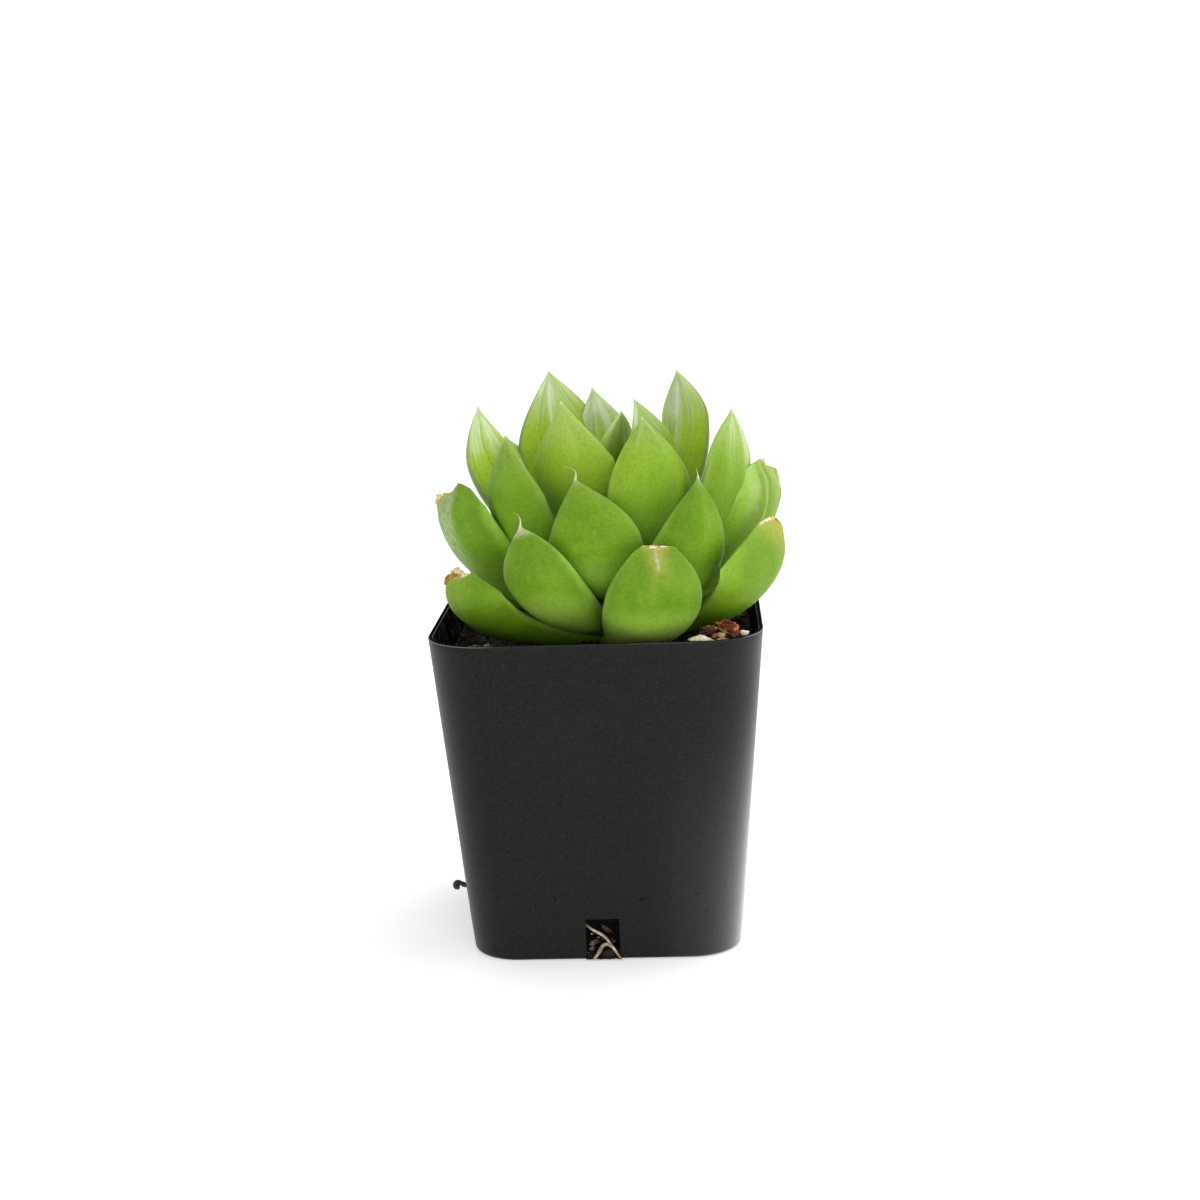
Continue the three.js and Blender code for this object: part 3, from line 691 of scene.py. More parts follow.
# Where the clear skin starts on a leaf with none, as a share of the length, and how much lower it
# starts on the clearest.
WINDOW_START = 0.96
WINDOW_LENGTH = 0.22
# Leaves with at least this much window have grey edges and bristles.
CLEAR_LEAF = 0.5


def leaf_material(leaf):
    shader = Shader(leaf_name(leaf) + "_flesh", LEAF_GREEN)
    net = shader.uv("net")
    along = shader.times(net["X"], NET_LENGTH)
    across = shader.swing(net["Y"], 2.0)
    side = shader.uv("side")
    outer = shader.step(side["X"], 0.3, 0.7, 1.0, 0.0)
    cloud = shader.noise(LEAF_CLOUDS, detail=4.0)
    mottle = shader.noise(LEAF_MOTTLES, roughness=0.8)
    light, window = leaf.light, leaf.window

    # Paler towards the end. How pale follows the leaf's light, which is partly painted light: it is set
    # higher on the leaves that sit in shade.
    shader.tint(LEAF_LIGHT, along, 0.22, 0.78, 0.25 * light, light)
    shader.tint(LEAF_PALE, along, 0.70, 1.0, 0.0, 0.08 + 0.50 * light)
    shader.tint(LEAF_LIGHT, cloud, 0.38, 0.66, 0.0, 0.17)
    waxy = shader.times(shader.step(along, 0.20, 0.36), shader.step(along, 0.38, 0.62, 1.0, 0.0), outer)
    shader.paint(shader.times(waxy, leaf.bloom), LEAF_BLOOM)
    # Painted bounce light: downward faces of the outer side are lighter, as if lit by the floor below.
    # How much follows the leaf's bloom.
    downward = shader.split(shader.normal)["Z"]
    floor_bounce = shader.step(downward, -0.28, -0.85, 0.0, min(0.8, 16 * leaf.bloom))
    shader.paint(shader.times(floor_bounce, outer), LEAF_BOUNCE_FROM_BELOW)
    # Painted bounce light: lighter and greener where the leaf sits close among younger leaves, and on the
    # lower middle of a pointed leaf.
    shader.tint(LEAF_PAINTED_BOUNCE, side["Y"], 0.10, 0.80, 0.0, 0.48)
    if not leaf.withered:
        shader.tint(LEAF_PAINTED_BOUNCE, along, 0.36, 0.66, 0.24, 0.0)
    # Painted shade: darker at the base, where the leaf sits down among the others.
    shader.tint(LEAF_DEEP, along, 0.06, 0.26, 0.4, 0.0)
    shader.tint(LEAF_DEEP, mottle, 0.36, 0.52, 0.30, 0.0)
    shader.tint(LEAF_PALE, mottle, 0.50, 0.66, 0.0, 0.10)
    clear_window(shader, leaf, along, across)
    add_streaks(shader, leaf, along, across)

    margin, bristle = LEAF_MARGIN, BRISTLE_CREAM
    if window >= CLEAR_LEAF:
        margin, bristle = LEAF_DULL, BRISTLE_GREY
    edge = shader.math("ABSOLUTE", across)
    shader.tint(margin, edge, 0.91, 0.98, 0.0, 0.24 + 0.56 * window)
    roughness = LEAF_ROUGHNESS
    if leaf.withered:
        roughness = dried_skin(shader)
    else:
        shader.tint(LEAF_TIP, along, 0.93, 0.995, 0.0, 0.45)
        shader.tint(bristle, along, 0.98, 1.01)
    if leaf.number == OLD_TIP_LEAF:
        dry = shader.times(shader.step(along, 0.92, 0.985), shader.step(mottle, 0.42, 0.56, 0.3, 0.8))
        shader.paint(dry, OLD_TIP)
    shader.set(Subsurface_Weight=0.30 + 0.30 * window, Subsurface_Radius=(0.9, 1.0, 0.15),
               Subsurface_Scale=0.0006 + 0.0005 * window)
    return shader.finish(roughness, LEAF_SHINE, mottle, 0.30, 0.00016)


def clear_window(shader, leaf, along, across):
    """The whitish clear skin of a leaf's end: blotched, pale in the middle, with thin green veins."""
    def net_noise(scale_along, scale_across, scale, detail):
        net = shader.vector(shader.times(along, scale_along), shader.times(across, scale_across),
                            leaf.order * 3.7)
        return shader.noise(scale, detail, 0.6, net)

    window = leaf.window
    blotch = net_noise(3.4, 1.3, 1.0, 3.0)
    streak = net_noise(0.6, 1.15, 1.5, 2.0)
    fibre = net_noise(0.9, 4.0, 1.5, 3.0)
    vein = net_noise(0.8, 3.2, 2.0, 1.0)
    upper = shader.step(along, 0.42, 0.82)
    pale = shader.step(streak, 0.44, 0.62, 0.0, 0.05 + 0.30 * window)
    shader.paint(shader.times(upper, pale), LEAF_PALE)
    faded = shader.plus(along, shader.swing(fibre, 0.25))
    shader.tint(LEAF_CLEAR, faded, 0.74, 0.92, 0.0, 0.65 * window)
    fingers = shader.plus(shader.swing(streak, 1.2), shader.swing(fibre, 0.50))
    reach = shader.plus(along, shader.plus(fingers, shader.swing(blotch, 0.8)))
    start = WINDOW_START - WINDOW_LENGTH * window
    clear = shader.times(
        shader.step(reach, start, start + 0.34, 0.0, 0.88 * window ** 0.6),
        shader.step(blotch, 0.36, 0.58, 0.55, 1.0),
        shader.step(along, 0.50, 0.86, 0.10, 1.0))
    shader.paint(clear, LEAF_WHITE)
    veins = shader.step(vein, 0.60, 0.68, 0.0, 0.06 + 0.30 * window)
    shader.paint(shader.times(upper, veins), LEAF_VEIN)


def add_streaks(shader, leaf, along, across):
    """The soft streaks and ragged patches of the few leaves that have them."""
    rows = [row[1:] for row in STREAKS if row[0] == leaf.number]
    if not rows:
        return
    net = shader.vector(shader.times(along, 26.0), shader.times(across, 10.0))
    ragged = shader.step(shader.noise(1.0, 4.0, 0.7, net), 0.36, 0.60, 0.35, 1.0)
    for middle, half_width, low, high, strength, kind in rows:
        aside = shader.math("ABSOLUTE", shader.math("SUBTRACT", across, middle))
        near = shader.step(aside, 0.2 * half_width, half_width, 1.0, 0.0)
        near = shader.times(near, shader.step(along, low, high), ragged, strength)
        shader.paint(near, STREAK_COLORS[kind])


def dried_skin(shader):
    """Paints tan, cream and brown skin on a withered end, and gives the roughness it has."""
    dried = shader.uv("dried")
    patches = shader.noise(900.0, detail=5.0, roughness=0.7)
    below = shader.plus(shader.swing(dried["X"], DRIED_RANGE), shader.swing(patches, 1.2))
    shader.tint(DRY_TAN, below, -0.1, 1.6, 0.60, 0.0)
    crust = shader.step(below, -0.12, 0.10, 1.0, 0.0)
    brown = shader.plus(dried["Y"], shader.swing(patches, 1.8))
    shader.paint(crust, shader.mix(shader.step(brown, 0.30, 0.62), DRY_CREAM, DRY_BROWN))
    return shader.step(crust, 0.0, 1.0, LEAF_ROUGHNESS, CRUST_ROUGHNESS)


def crust_material(name, pale, dark):
    shader = Shader(name, pale)
    shader.tint(dark, shader.noise(1600.0, detail=4.0), 0.38, 0.60)
    return shader.finish(CRUST_ROUGHNESS, 0.15, shader.noise(2600.0), 0.6, 0.0002)


def make_crust(name, rows, pale, dark, seed):
    draw = np.random.default_rng(seed)
    places, sizes = [], []
    for number, across_from, across_to, down_from, down_to, smallest, largest, count in rows:
        leaf = LEAVES[number - 1]
        for _ in range(count):
            share = np.array([1 - draw.uniform(down_from, down_to) / leaf_length(leaf)])
            side = np.clip(draw.uniform(across_from, across_to) / width_share(leaf, share), -1, 1)
            places.append(leaf_surface(leaf, share, -np.arccos(side))[0])
            sizes.append(draw.uniform(smallest, largest))
    crumbs = scatter(places, sizes, draw, detail=2)
    finish_piece(make_object(name, *crumbs, crust_material(name, pale, dark)), "leaf")


# Pot

POT_LOW, POT_HIGH = (np.array(corner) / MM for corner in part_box("pot"))
POT_TOP = POT_HIGH[0] - POT_LOW[0]
POT_HEIGHT = POT_HIGH[2] - POT_LOW[2]
POT_BOTTOM = 42.0
POT_TOP_CORNER = 9.0
POT_BOTTOM_CORNER = 7.5
POT_WALL = 0.7
POT_FLOOR = 1.1
POT_FOOT_RADIUS = 0.6
RIM_RADIUS = 0.14
CORNER_STEPS = 20
NOTCH_WIDTH = 5.2
NOTCH_HEIGHT = 6.8
NOTCH_INTO_FLOOR = 3.0
NOTCH_SHIFT = -0.35
POT_BLACK = (0.0036, 0.0038, 0.0034)
POT_FADED = (0.0056, 0.0058, 0.0053)
POT_DUST = (0.0105, 0.0107, 0.0098)
POT_SOILED = (0.052, 0.040, 0.022)
POT_RIM_HIGHLIGHT = (0.230, 0.235, 0.230)
POT_WET = (0.002, 0.002, 0.002)
POT_SHINE = 0.11
# Heights in millimetres over which the wet specks and the sheen that stands in for a reflection
# fade in, going down, and places in metres from the middle over which that sheen and the painted
# highlight on the rim fade in.
WET_HEIGHTS = (17.0, 9.0)
SHEEN_HEIGHTS = (44.0, 6.0)
SHEEN_RIGHT = (0.006, 0.020)
RIM_HIGHLIGHT_RIGHT = (0.0215, 0.0240)
RIM_HIGHLIGHT_LEFT = (-0.0130, -0.0180)


def rounded_square(side, corner, height):
    half = side / 2 - corner
    points = []
    for quarter, (sign_x, sign_y) in enumerate([(1, 1), (-1, 1), (-1, -1), (1, -1)]):
        for step in range(CORNER_STEPS + 1):
            angle = math.pi / 2 * (quarter + step / CORNER_STEPS)
            x = sign_x * half + corner * math.cos(angle)
            y = sign_y * half + corner * math.sin(angle)
            points.append((x, y, height))
    return np.array(points)


def pot_ring(height, inset, drawn_at=None):
    share = height / POT_HEIGHT
    side = POT_BOTTOM + share * (POT_TOP - POT_BOTTOM) - 2 * inset
    corner = POT_BOTTOM_CORNER + share * (POT_TOP_CORNER - POT_BOTTOM_CORNER) - inset
    return rounded_square(side, corner, height if drawn_at is None else drawn_at)


def make_pot():
    quarter = [math.pi / 2 * i / 6 for i in range(7)]
    rings = [pot_ring(0, POT_FOOT_RADIUS * (1 - math.sin(a)), POT_FOOT_RADIUS * (1 - math.cos(a)))
             for a in quarter]
    rings += [pot_ring(POT_HEIGHT * share, 0) for share in np.linspace(0.08, 0.97, 14)]
    for angle in np.linspace(0, math.pi, 11):
        inset = POT_WALL / 2 * (1 - math.cos(angle))
        rings.append(pot_ring(POT_HEIGHT, inset, POT_HEIGHT - RIM_RADIUS * (1 - math.sin(angle))))
    rings += [pot_ring(POT_HEIGHT * share, POT_WALL) for share in np.linspace(0.97, 0.06, 14)]
    rings.append(pot_ring(POT_FLOOR, POT_WALL))
    pot = make_object("pot_shell", *loft(np.array(rings)), pot_material())
    for side in range(4):
        cut_notch(pot, side)
    pot.data.shade_smooth()
    pot.data.set_sharp_from_angle(angle=math.radians(40))
    finish_piece(pot, "pot_plastic", "pot")


def cut_notch(pot, side):
    half = np.array([NOTCH_WIDTH / 2, NOTCH_INTO_FLOOR, NOTCH_HEIGHT])
    corners = [(x, y, z) for x in (-1, 1) for y in (-1, 1) for z in (-1, 1)]
    box = np.array(corners) * half + [NOTCH_SHIFT, -POT_BOTTOM / 2, 0]
    angle = side * math.pi / 2
    cos, sin = math.cos(angle), math.sin(angle)
    turn = np.array([[cos, sin, 0], [-sin, cos, 0], [0, 0, 1]])
    faces = [(0, 1, 3, 2), (4, 6, 7, 5), (0, 4, 5, 1), (2, 3, 7, 6), (0, 2, 6, 4), (1, 5, 7, 3)]
    cutter = make_object("notch_cutter", box @ turn, faces, pot.data.materials[0], smooth=False)
    cut = pot.modifiers.new("notch", "BOOLEAN")
    cut.operation = "DIFFERENCE"
    cut.solver = "EXACT"
    cut.object = cutter
    apply_modifiers(pot)
    bpy.data.objects.remove(cutter)


def apply_modifiers(piece):
    bpy.context.view_layer.update()
    depsgraph = bpy.context.evaluated_depsgraph_get()
    result = bpy.data.meshes.new_from_object(piece.evaluated_get(depsgraph))
    old = piece.data
    piece.modifiers.clear()
    piece.data = result
    bpy.data.meshes.remove(old)


def pot_material():
    shader = Shader("black_plastic", POT_BLACK)
    at = shader.split(shader.place)
    up = shader.split(shader.normal)["Z"]
    vectors = {0: shader.normal, 1: shader.place}
    facing = shader.add("ShaderNodeVectorMath", vectors, operation="DOT_PRODUCT").outputs["Value"]
    outside = shader.step(facing, 0.0, 0.004)
    upright = shader.step(up, 0.9, 0.3)
    height = shader.times(at["Z"], 1 / MM)
    cloud = shader.noise(55.0, detail=4.0)
    grain = shader.noise(3800.0, detail=2.0, roughness=0.6)
    specks = shader.noise(420.0, detail=1.0)

    shader.tint(POT_FADED, cloud, 0.35, 0.75, 0.0, 0.4)
    shader.tint(POT_DUST, grain, 0.40, 0.66)
    wet = shader.times(shader.step(height, *WET_HEIGHTS), shader.step(specks, 0.69, 0.72))
    shader.paint(wet, POT_WET)
    # Painted highlight on the rim's edge.
    shader.paint(rim_highlight(shader, at["X"], height, up, cloud), POT_RIM_HIGHLIGHT)
    soiled = shader.step(shader.noise(800.0), 0.46, 0.62)
    shader.color = shader.mix(outside, shader.mix(soiled, POT_BLACK, POT_SOILED), shader.color)
    # Painted reflection: more sheen on the lower right of the outside stands in for the reflection of the
    # bright floor there; elsewhere it is faint.
    reflection_sheen = shader.times(shader.step(at["X"], *SHEEN_RIGHT), shader.step(height, *SHEEN_HEIGHTS, 0.10, 1.0))
    reflection_sheen = shader.plus(shader.times(reflection_sheen, 0.90), 0.10)
    shader.set(Sheen_Weight=shader.times(reflection_sheen, outside, upright), Sheen_Roughness=0.50)
    roughness = shader.step(wet, 0.0, 1.0, 0.44, 0.15)
    return shader.finish(roughness, shader.times(upright, outside, POT_SHINE), grain, 0.40, 0.00010)


def rim_highlight(shader, x, height, up, cloud):
    """A painted highlight on the rim's edge where it catches the light: most of all at the right
    corner and the left part of the front, and patchy along the rest.
    """
    top = shader.step(height, POT_HEIGHT - 0.20, POT_HEIGHT - 0.08)
    slope = shader.step(up, 0.97, 0.80)
    left = shader.times(shader.step(x, *RIM_HIGHLIGHT_LEFT), 0.7)
    where = shader.math("MAXIMUM", shader.step(x, *RIM_HIGHLIGHT_RIGHT), left)
    where = shader.math("MAXIMUM", where, shader.step(cloud, 0.45, 0.60, 0.10, 0.35))
    return shader.times(top, slope, where)


# Potting mix

SOIL_LEVEL = 45.8
SOIL_MOUNDS = [(14, -21, 9, 3.0), (19, -19.5, 5, 2.8), (-16, -22.5, 5, 4.8), (-21, -19, 4, -3),
               (2, 0, 12, 1.5), (-8, 20, 9, 1.4)]
# Behind the notches the mix falls back: how far, and the heights between which that ends.
SOIL_HOLLOW_DEPTH = 2.6
SOIL_HOLLOW_TOP = (5.5, 8.0)
SOIL_SIDE_RINGS = 24
SOIL_GAP = 0.3
SOIL_CRUMB = 0.25
SOIL_CRUMB_TURN = 0.9
SOIL_RINGS = 46
SOIL_LUMPS = 0.35
GRAIN_COUNT = 2600
GRAIN_SIZES = (0.25, 0.95)
GRAIN_GAP = 1.4
GRAIN_CORNER = 7.0
GRAIN_LIFT = 0.1
# A stone's cuts lie this far from its middle, in radii, and are this flat.
STONE_CUTS = (0.55, 0.85)
STONE_FLATNESS = 0.92


def soil_height(x, y):
    height = np.full(np.shape(x), SOIL_LEVEL, dtype=float)
    for mound_x, mound_y, radius, rise in SOIL_MOUNDS:
        height += rise * np.exp(-((x - mound_x) ** 2 + (y - mound_y) ** 2) / radius ** 2)
    crumb = np.sin(SOIL_CRUMB_TURN * (x + y / 2)) * np.cos(SOIL_CRUMB_TURN * (y - x / 2))
    return height + SOIL_CRUMB * crumb


def make_soil():
    """The filling, with crumbly sides that the notches show and a lumpy top."""
    inset = POT_WALL + SOIL_GAP
    rings = []
    shares = np.linspace(0, 0.97, SOIL_SIDE_RINGS) ** 1.6
    for height in POT_FLOOR + SOIL_GAP + (SOIL_LEVEL - POT_FLOOR) * shares:
        ring = pot_ring(height, inset)
        crumbs = 1 + 0.5 * (wobble(ring, 2.3, SEED + 3) + wobble(ring, 0.9, SEED + 4))
        hollow = SOIL_HOLLOW_DEPTH * (1 - smoothstep(*SOIL_HOLLOW_TOP, ring[:, 2])) + 0.25
        ring[:, :2] *= 1 - (hollow * np.clip(crumbs, 0.1, 2) / (POT_BOTTOM / 2))[:, None]
        rings.append(ring)
    outline = pot_ring(SOIL_LEVEL, inset)
    for scale in np.linspace(1, 0.02, SOIL_RINGS):
        ring = outline * [scale, scale, 1]
        ring[:, 2] = soil_height(ring[:, 0], ring[:, 1])
        lumps = wobble(ring, 3.1, SEED) + 0.6 * wobble(ring, 1.3, SEED + 1)
        ring[:, 2] += SOIL_LUMPS * lumps - SOIL_LUMPS
        rings.append(ring)
    finish_piece(make_object("potting_mix", *loft(np.array(rings)), soil_material()), "soil", "soil")


def unit_ball(detail):
    """Vertices and triangles of an icosphere of radius 1."""
    mesh = bpy.data.meshes.new("ball")
    build = bmesh.new()
    bmesh.ops.create_icosphere(build, subdivisions=detail, radius=1.0)
    build.to_mesh(mesh)
    build.free()
    vertices = np.array([v.co for v in mesh.vertices])
    faces = [f.vertices[:] for f in mesh.polygons]
    bpy.data.meshes.remove(mesh)
    return vertices, faces


def stone(detail, seed, cuts=12):
    """A unit stone: a ball cut flat on random sides, with a rough skin."""
    vertices, faces = unit_ball(detail)
    draw = np.random.default_rng(seed)
    for _ in range(cuts):
        normal = draw.normal(size=3)
        normal /= np.linalg.norm(normal)
        beyond = np.maximum(vertices @ normal - draw.uniform(*STONE_CUTS), 0)
        vertices = vertices - STONE_FLATNESS * beyond[:, None] * normal
    rough = 1 + 0.035 * wobble(vertices, 0.45, seed + 1) + 0.018 * wobble(vertices, 0.17, seed + 2)
    return vertices * rough[:, None], faces


def random_turns(draw, count):
    """Random rotation matrices from random unit quaternions."""
    w, x, y, z = unit(draw.normal(size=(count, 4))).T
    rows = [[1 - 2 * (y * y + z * z), 2 * (x * y - z * w), 2 * (x * z + y * w)],
            [2 * (x * y + z * w), 1 - 2 * (x * x + z * z), 2 * (y * z - x * w)],
            [2 * (x * z - y * w), 2 * (y * z + x * w), 1 - 2 * (x * x + y * y)]]
    return np.moveaxis(np.array(rows), 2, 0)


def scatter(places, sizes, draw, detail=1):
    """One mesh of many crumbs, each turned and stretched its own way."""
    shapes = [stone(detail, SEED + 10 + i, cuts=5) for i in range(6)]
    turns = random_turns(draw, len(places))
    stretches = draw.uniform(0.6, 1.25, size=(len(places), 3))
    crumbs = []
    for i, place in enumerate(places):
        shape, faces = shapes[i % len(shapes)]
        crumbs.append(((shape * stretches[i] * sizes[i] / 2) @ turns[i].T + place, faces))
    return join(crumbs)


def make_grains():
    draw = np.random.default_rng(SEED + 2)
    reach = POT_TOP / 2 - POT_WALL - GRAIN_GAP
    x, y = draw.uniform(-reach, reach, size=(2, GRAIN_COUNT))
    past_x, past_y = (np.maximum(np.abs(v) - (reach - GRAIN_CORNER), 0) for v in (x, y))
    keep = np.hypot(past_x, past_y) < GRAIN_CORNER
    x, y = x[keep], y[keep]
    sizes = GRAIN_SIZES[0] + (GRAIN_SIZES[1] - GRAIN_SIZES[0]) * draw.random(len(x)) ** 2
    places = np.stack([x, y, soil_height(x, y) + sizes * GRAIN_LIFT], axis=1)
    crumbs = scatter(places, sizes, draw)
    grains = make_object("mix_grains", *crumbs, grain_material(), smooth=False)
    finish_piece(grains, "soil")


def soil_material():
    shader = Shader("peat", (0.002, 0.0015, 0.001))
    shader.paint(shader.noise(900.0), (0.016, 0.011, 0.008))
    return shader.finish(0.95, 0.2, shader.noise(1500.0, detail=5.0), 0.9, 0.0006)


def grain_material():
    shader = Shader("mix_grain", (0.004, 0.003, 0.002))
    patch = shader.noise(700.0, detail=0.0)
    shader.tint((0.032, 0.020, 0.013), patch, 0.40, 0.62)
    shader.tint((0.160, 0.130, 0.100), patch, 0.70, 0.74)
    return shader.finish(0.9, 0.25, shader.noise(2500.0), 0.6, 0.0002)


# Loose chips

# Each chip: x, y, height of its middle, length, width, thickness, turn and tilt.
BARK = [
    (20.1, -20.5, 51.8, 4.4, 2, 2.4, -4, 26),
    (16.9, -20.4, 51.5, 4, 1.9, 1.9, 8, -10),
    (-17.7, -22.9, 50.4, 2.2, 1.3, 1.1, 10, 8),
    (-20.5, 17, 46.9, 4.4, 2.6, 1.4, -20, 10),
    (20, 19.6, 46.6, 3.8, 2.4, 1.3, 60, -8),
]
PUMICE = [
    (16.1, -22.6, 50.5, 4.4, 2, 2.2, 2, 4),
    (19.2, -23.3, 50.6, 3, 1, 0.9, -3, 0),
    (19.1, -22.3, 51.2, 1.5, 0.9, 0.8, -6, 14),
    (22.5, -20.7, 51, 1.7, 1.1, 1, 10, 0),
    (-15.8, -23.2, 50.4, 1.8, 1.2, 1.1, 0, 0),
    (-21.8, -9, 45.9, 2.4, 2, 1.6, 70, 0),
    (22.2, 14.6, 46.5, 3, 2.2, 1.8, -50, 0),
    (-16, 21.4, 47.3, 2.8, 2.2, 1.7, 10, 0),
]
# Small broken bits of bark between the chips at the front.
BARK_CRUMBS = [
    (18.4, -21.7, 51, 2.2, 1.2, 0.9, 20, 8),
    (21.4, -21.8, 50.7, 2, 1.1, 0.7, -20, -12),
    (18, -23.4, 50.1, 1.6, 0.8, 0.5, 0, 0),
]
CHIP_DETAIL = 5
BARK_LAYERS = 5
LAYER_SPREAD = 1.6
LEDGE_DEPTH = 0.16
# Three tones of each kind of bark, from its cracks to its worn faces.
BARK_TONES = {
    "red_bark": ((0.022, 0.006, 0.003), (0.160, 0.036, 0.012), (0.520, 0.230, 0.090)),
    "old_bark": ((0.010, 0.005, 0.003), (0.110, 0.036, 0.018), (0.330, 0.170, 0.090)),
    "pink_bark": ((0.016, 0.010, 0.010), (0.075, 0.042, 0.036), (0.190, 0.120, 0.090)),
    "dark_bark": ((0.008, 0.004, 0.005), (0.034, 0.018, 0.020), (0.075, 0.045, 0.045)),
}
# Crumbs that the front notch shows, laid out as the chips above.
NOTCH_BARK = [
    (0.1, -20.2, 4.75, 2.7, 0.8, 0.95, 0, 38),
    (-0.6, -20.4, 3.2, 1.6, 0.7, 0.35, 10, 30),
    (-1.8, -20.4, 2.5, 2.2, 0.9, 0.9, 0, -8),
    (1.2, -20.7, 2.9, 1.3, 0.5, 0.7, 0, 40),
    (-2.1, -20.5, 1.6, 1.2, 0.9, 0.9, 30, 30),
    (-1.3, -20.5, 2.9, 0.9, 0.6, 0.5, 0, 20),
]
NOTCH_PLATE = [(0.55, -20.7, 0.85, 3.2, 1, 1.6, 0, 5), (-0.3, -20.6, 1.9, 1.5, 0.7, 0.5, 0, -12)]
NOTCH_SOIL = [
    (-2.8, -20.95, 0.24, 0.7, 0.8, 0.46, 0, 0),
    (2.08, -20.95, 0.24, 0.7, 0.8, 0.46, 0, 0),
    (2, -20.3, 0.9, 1.2, 1.6, 1.4, 0, 0),
    (-0.3, -19.5, 0.45, 5.3, 3, 0.86, 0, 0),
    (-0.3, -19.3, 0.9, 5, 2.4, 1.6, 0, 0),
    (-2.3, -20.8, 0.62, 1.4, 1.2, 1.2, 0, 0),
    (-1.1, -20.9, 0.3, 2.2, 1.2, 0.56, 0, 0),
    (0.4, -20.9, 0.34, 3, 1.2, 0.64, 0, 0),
    (1.7, -20.8, 0.55, 1.5, 1.2, 1.05, 0, 0),
]
NOTCH_GRIT = [
    (-2.1, -20.6, 4.1, 0.4, 0.3, 0.25, 0, 0),
    (-1.1, -20.6, 3.5, 0.42, 0.3, 0.25, 0, 40),
]


def chip_mesh(row, seed, layers=0):
    """A chip of stone, or of bark where it has layers that end one short of the next."""
    x, y, height, length, width, thickness, turn, tilt = row
    shape, faces = stone(CHIP_DETAIL, seed)
    jagged = 1 + 0.07 * wobble(shape, 0.50, seed + 3) + 0.035 * wobble(shape, 0.16, seed + 4)
    shape *= jagged[:, None]
    if layers:
        level = shape[:, 2] * layers / LAYER_SPREAD + 0.25 * wobble(shape, 1.1, seed + 5)
        step = np.floor(level) + smoothstep(0.35, 0.65, level % 1)
        ledge = 1 + LEDGE_DEPTH * np.sin(step * 2.4 + seed) + 0.05 * wobble(shape, 0.22, seed + 6)
        shape[:, :2] *= ledge[:, None]
    shape = shape / np.abs(shape).max(axis=0) * np.array([length, width, thickness]) / 2
    turned = Matrix.Rotation(math.radians(turn), 3, "Z") @ Matrix.Rotation(math.radians(tilt), 3, "Y")
    return shape @ np.array(turned).T + [x, y, height], faces


def bark_material(name):
    cracks, body, worn = BARK_TONES[name]
    shader = Shader(name, cracks)
    stretched = shader.add("ShaderNodeMapping", {
        "Vector": shader.place, "Rotation": (0.2, 0.5, 0.3), "Scale": (260, 500, 1700)}).outputs["Vector"]
    layers = shader.noise(1.6, 5.0, 0.65, stretched)
    shader.tint(body, layers, 0.40, 0.56)
    shader.tint(worn, shader.noise(420.0, detail=4.0, roughness=0.6), 0.48, 0.60)
    return shader.finish(0.75, 0.2, layers, 0.9, 0.0004)


def pumice_material():
    shader = Shader("pumice", (0.800, 0.740, 0.560))
    shader.tint((0.480, 0.340, 0.130), shader.noise(500.0), 0.45, 0.70)
    pits = shader.add("ShaderNodeTexVoronoi", {"Vector": shader.place, "Scale": 1800.0})
    return shader.finish(0.85, 0.3, pits.outputs["Distance"], 0.6, 0.0003)


def make_chips(name, rows, material, slot, seed, layers=0, *nodes):
    """One piece of one or more chips. Without a node it is the scene's own."""
    chips = join([chip_mesh(row, seed + i, layers) for i, row in enumerate(rows)])
    finish_piece(make_object(name, *chips, material), slot, *nodes)


def make_loose_chips():
    red_bark, old_bark, pink_bark, dark_bark = (bark_material(name) for name in BARK_TONES)
    barks = {1: old_bark, 2: pink_bark}
    for i, row in enumerate(BARK):
        name = f"bark_{i + 1:02d}"
        bark = barks.get(i, red_bark)
        make_chips(name + "_chip", [row], bark, "bark", SEED + 40 + i, BARK_LAYERS, name)
    pumice = pumice_material()
    stained = crust_material("stained_pumice", (0.56, 0.42, 0.30), (0.30, 0.17, 0.09))
    dusty = crust_material("dusty_pumice", (0.20, 0.17, 0.14), (0.05, 0.04, 0.03))
    pink = crust_material("pink_grit", (0.42, 0.27, 0.24), (0.20, 0.11, 0.10))
    skins = {1: stained, 2: stained, 4: dusty}
    for i, row in enumerate(PUMICE):
        name = f"pumice_{i + 1:02d}"
        make_chips(name + "_chip", [row], skins.get(i, pumice), "pumice", SEED + 60 + i, 0, name)
    make_chips("notch_bark", NOTCH_BARK, pink_bark, "bark", SEED + 90, BARK_LAYERS)
    make_chips("notch_plate", NOTCH_PLATE, dark_bark, "bark", SEED + 105, BARK_LAYERS)
    make_chips("bark_crumbs", BARK_CRUMBS, old_bark, "bark", SEED + 110, BARK_LAYERS)
    make_chips("notch_mix", NOTCH_SOIL, soil_material(), "soil", SEED + 95)
    make_chips("notch_grit", NOTCH_GRIT, pink, "pumice", SEED + 100)


# Stem and roots

STEM_PROFILE = [(2.5, 42), (4.6, 45), (4.4, 50), (3.2, 56), (1.6, 61), (0.2, STEM_TOP)]
STEM_SIDES = 32
STEM_DARKNESS = 0.4
ROOT_RADIUS = 0.35
ROOT_KNOBBINESS = 0.22
# A direction that no root runs in, from which the sides of its tube are found.
SLANT = (0.31, 0.87, 0.38)
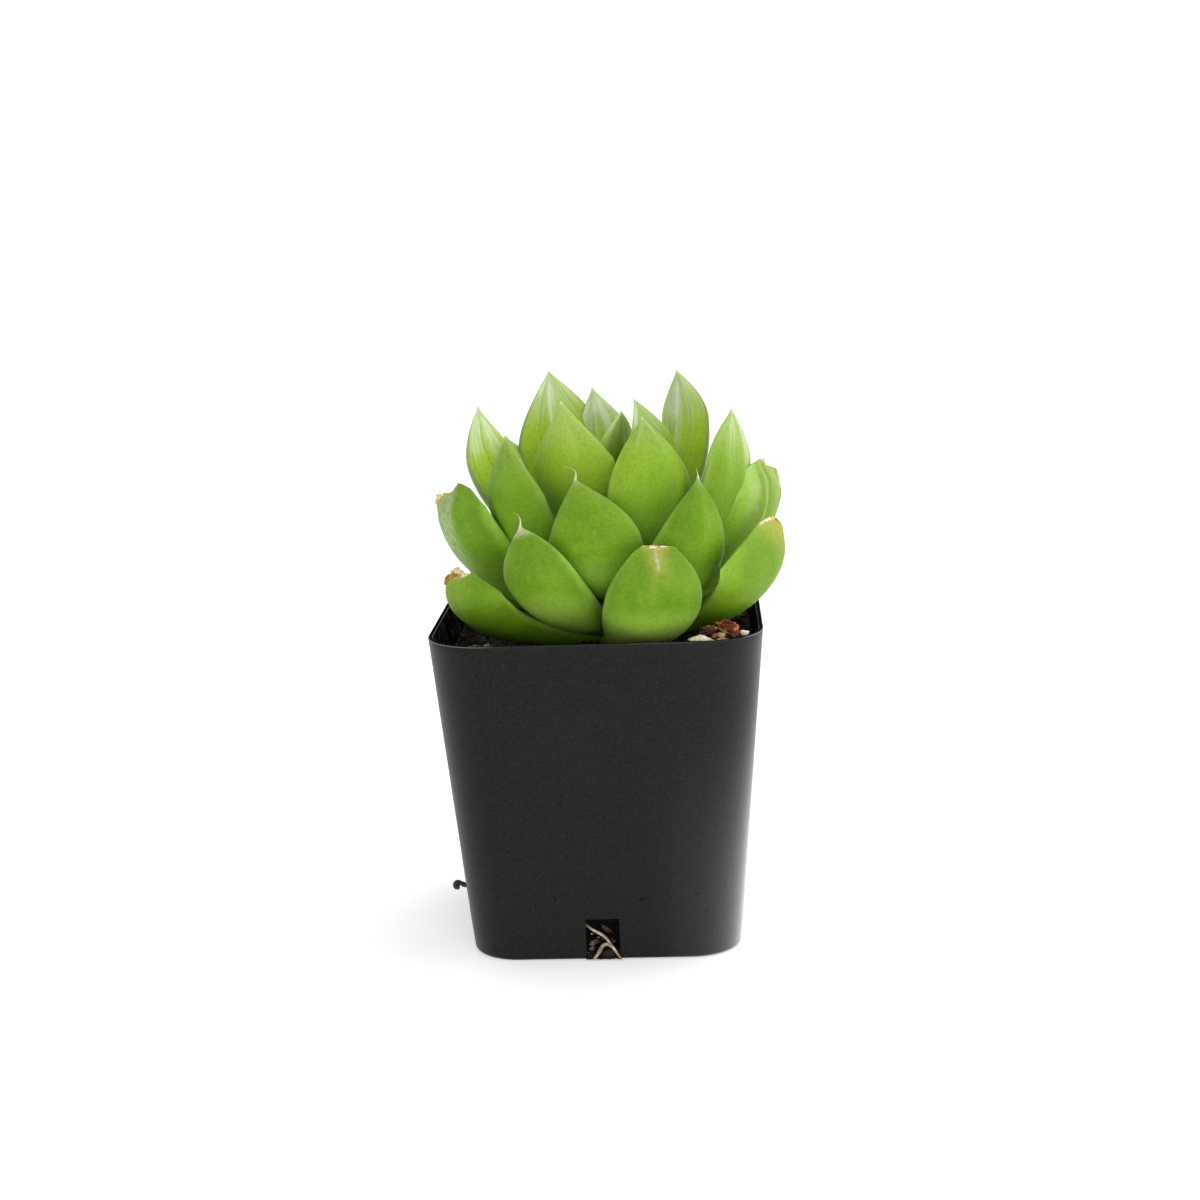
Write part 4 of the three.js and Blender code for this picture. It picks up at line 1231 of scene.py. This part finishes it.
# Each root: how thick it is against the solid's radius, how dark, and its points.
ROOTS = [
    (0.54, 0, [(1, -1.5, 44), (-1, -8, 28), (-4.5, -16, 10), (-4, -19.4, 6.3), (-2.7, -20.5, 5.3),
                 (-1.7, -20.75, 4.65), (-0.4, -21, 3.95), (0.4, -21.05, 3.1), (1, -21.1, 2.15),
                 (1.8, -21.5, 1.1), (2.4, -21.9, 0.3)]),
    (0.74, 0.35, [(0.95, -21.1, 2.2), (0.3, -21.1, 2.55), (-0.4, -21.1, 2.35), (-0.8, -21.15, 1.7),
                 (-1.25, -21.3, 1), (-1.8, -21.5, 0.35)]),
    (1.15, 0.95, [(0.5, 0, 44), (-6, -3, 26), (-15, -2, 9), (-20.5, -0.8, 4.6), (-23.6, -0.8, 5.2),
                  (-24.9, -0.8, 5.8), (-25.38, -0.8, 5.6), (-25.33, -0.85, 5.1), (-24.8, -0.9, 5)]),
    (0.9, 0.3, [(2.5, 1, 44), (8, 6, 30), (13, 12, 14), (14.5, 14.5, 5)]),
    (0.9, 0.3, [(1.5, 1.5, 44), (-3, 9, 28), (-9, 15, 12), (-5, 16.5, 4)]),
    (0.9, 0.3, [(3, -0.5, 44), (10, -5, 28), (16, -11, 13), (12, -15.5, 4.5)]),
]


def smooth_line(points, steps_each=10):
    """A Catmull-Rom curve through the points."""
    p = np.array([points[0], *points, points[-1]], dtype=float)
    line = []
    for i in range(1, len(p) - 2):
        for t in np.linspace(0, 1, steps_each, endpoint=False):
            line.append(0.5 * ((2 * p[i]) + (p[i + 1] - p[i - 1]) * t
                               + (2 * p[i - 1] - 5 * p[i] + 4 * p[i + 1] - p[i + 2]) * t ** 2
                               + (3 * p[i] - p[i - 1] - 3 * p[i + 1] + p[i + 2]) * t ** 3))
    line.append(p[-1])
    return np.array(line)


def tube(line, radii, sides=14):
    ways = unit(np.gradient(line, axis=0))
    helper = unit(np.cross(ways, SLANT))
    other = np.cross(ways, helper)
    turn = full_turn(sides)
    cos, sin = np.cos(turn)[None, :, None], np.sin(turn)[None, :, None]
    circle = cos * helper[:, None, :] + sin * other[:, None, :]
    return loft(line[:, None, :] + radii[:, None, None] * circle)


def make_stock():
    """The stem and the roots, in one piece."""
    turn = full_turn(STEM_SIDES)
    circle = np.stack([np.cos(turn), np.sin(turn), turn * 0], axis=1)
    rings = [radius * circle + [AXIS_X, 0, height] for radius, height in STEM_PROFILE]
    parts, tones = [loft(np.array(rings))], [STEM_DARKNESS]
    for i, (thickness, darkness, points) in enumerate(ROOTS):
        line = smooth_line(points)
        knobs = 1 + ROOT_KNOBBINESS * wobble(line, 1.6, SEED + 80 + i)
        parts.append(tube(line, ROOT_RADIUS * thickness * knobs))
        tones.append(darkness)
    stock = make_object("stem_roots", *join(parts), root_material())
    dark = np.repeat(tones, [len(vertices) for vertices, _ in parts])
    write_uv(stock, "age", dark, dark * 0)
    finish_piece(stock, "root", "stem_and_roots")


def root_material():
    shader = Shader("root_skin", (0.260, 0.180, 0.120))
    shader.tint((0.540, 0.450, 0.320), shader.noise(900.0), 0.35, 0.62)
    shader.paint(shader.uv("age")["X"], (0.014, 0.007, 0.006))
    return shader.finish(0.6, 0.4, shader.noise(1600.0), 0.6, 0.0002)


make_camera()
make_studio()
make_lights()
for leaf in LEAVES:
    make_leaf(leaf)
make_crust("brown_crust", BROWN_CRUST, (0.46, 0.34, 0.08), (0.24, 0.145, 0.02), SEED + 6)
make_crust("cream_crust", CREAM_CRUST, (0.82, 0.75, 0.54), (0.56, 0.45, 0.21), SEED + 7)
make_pot()
make_soil()
make_grains()
make_loose_chips()
make_stock()
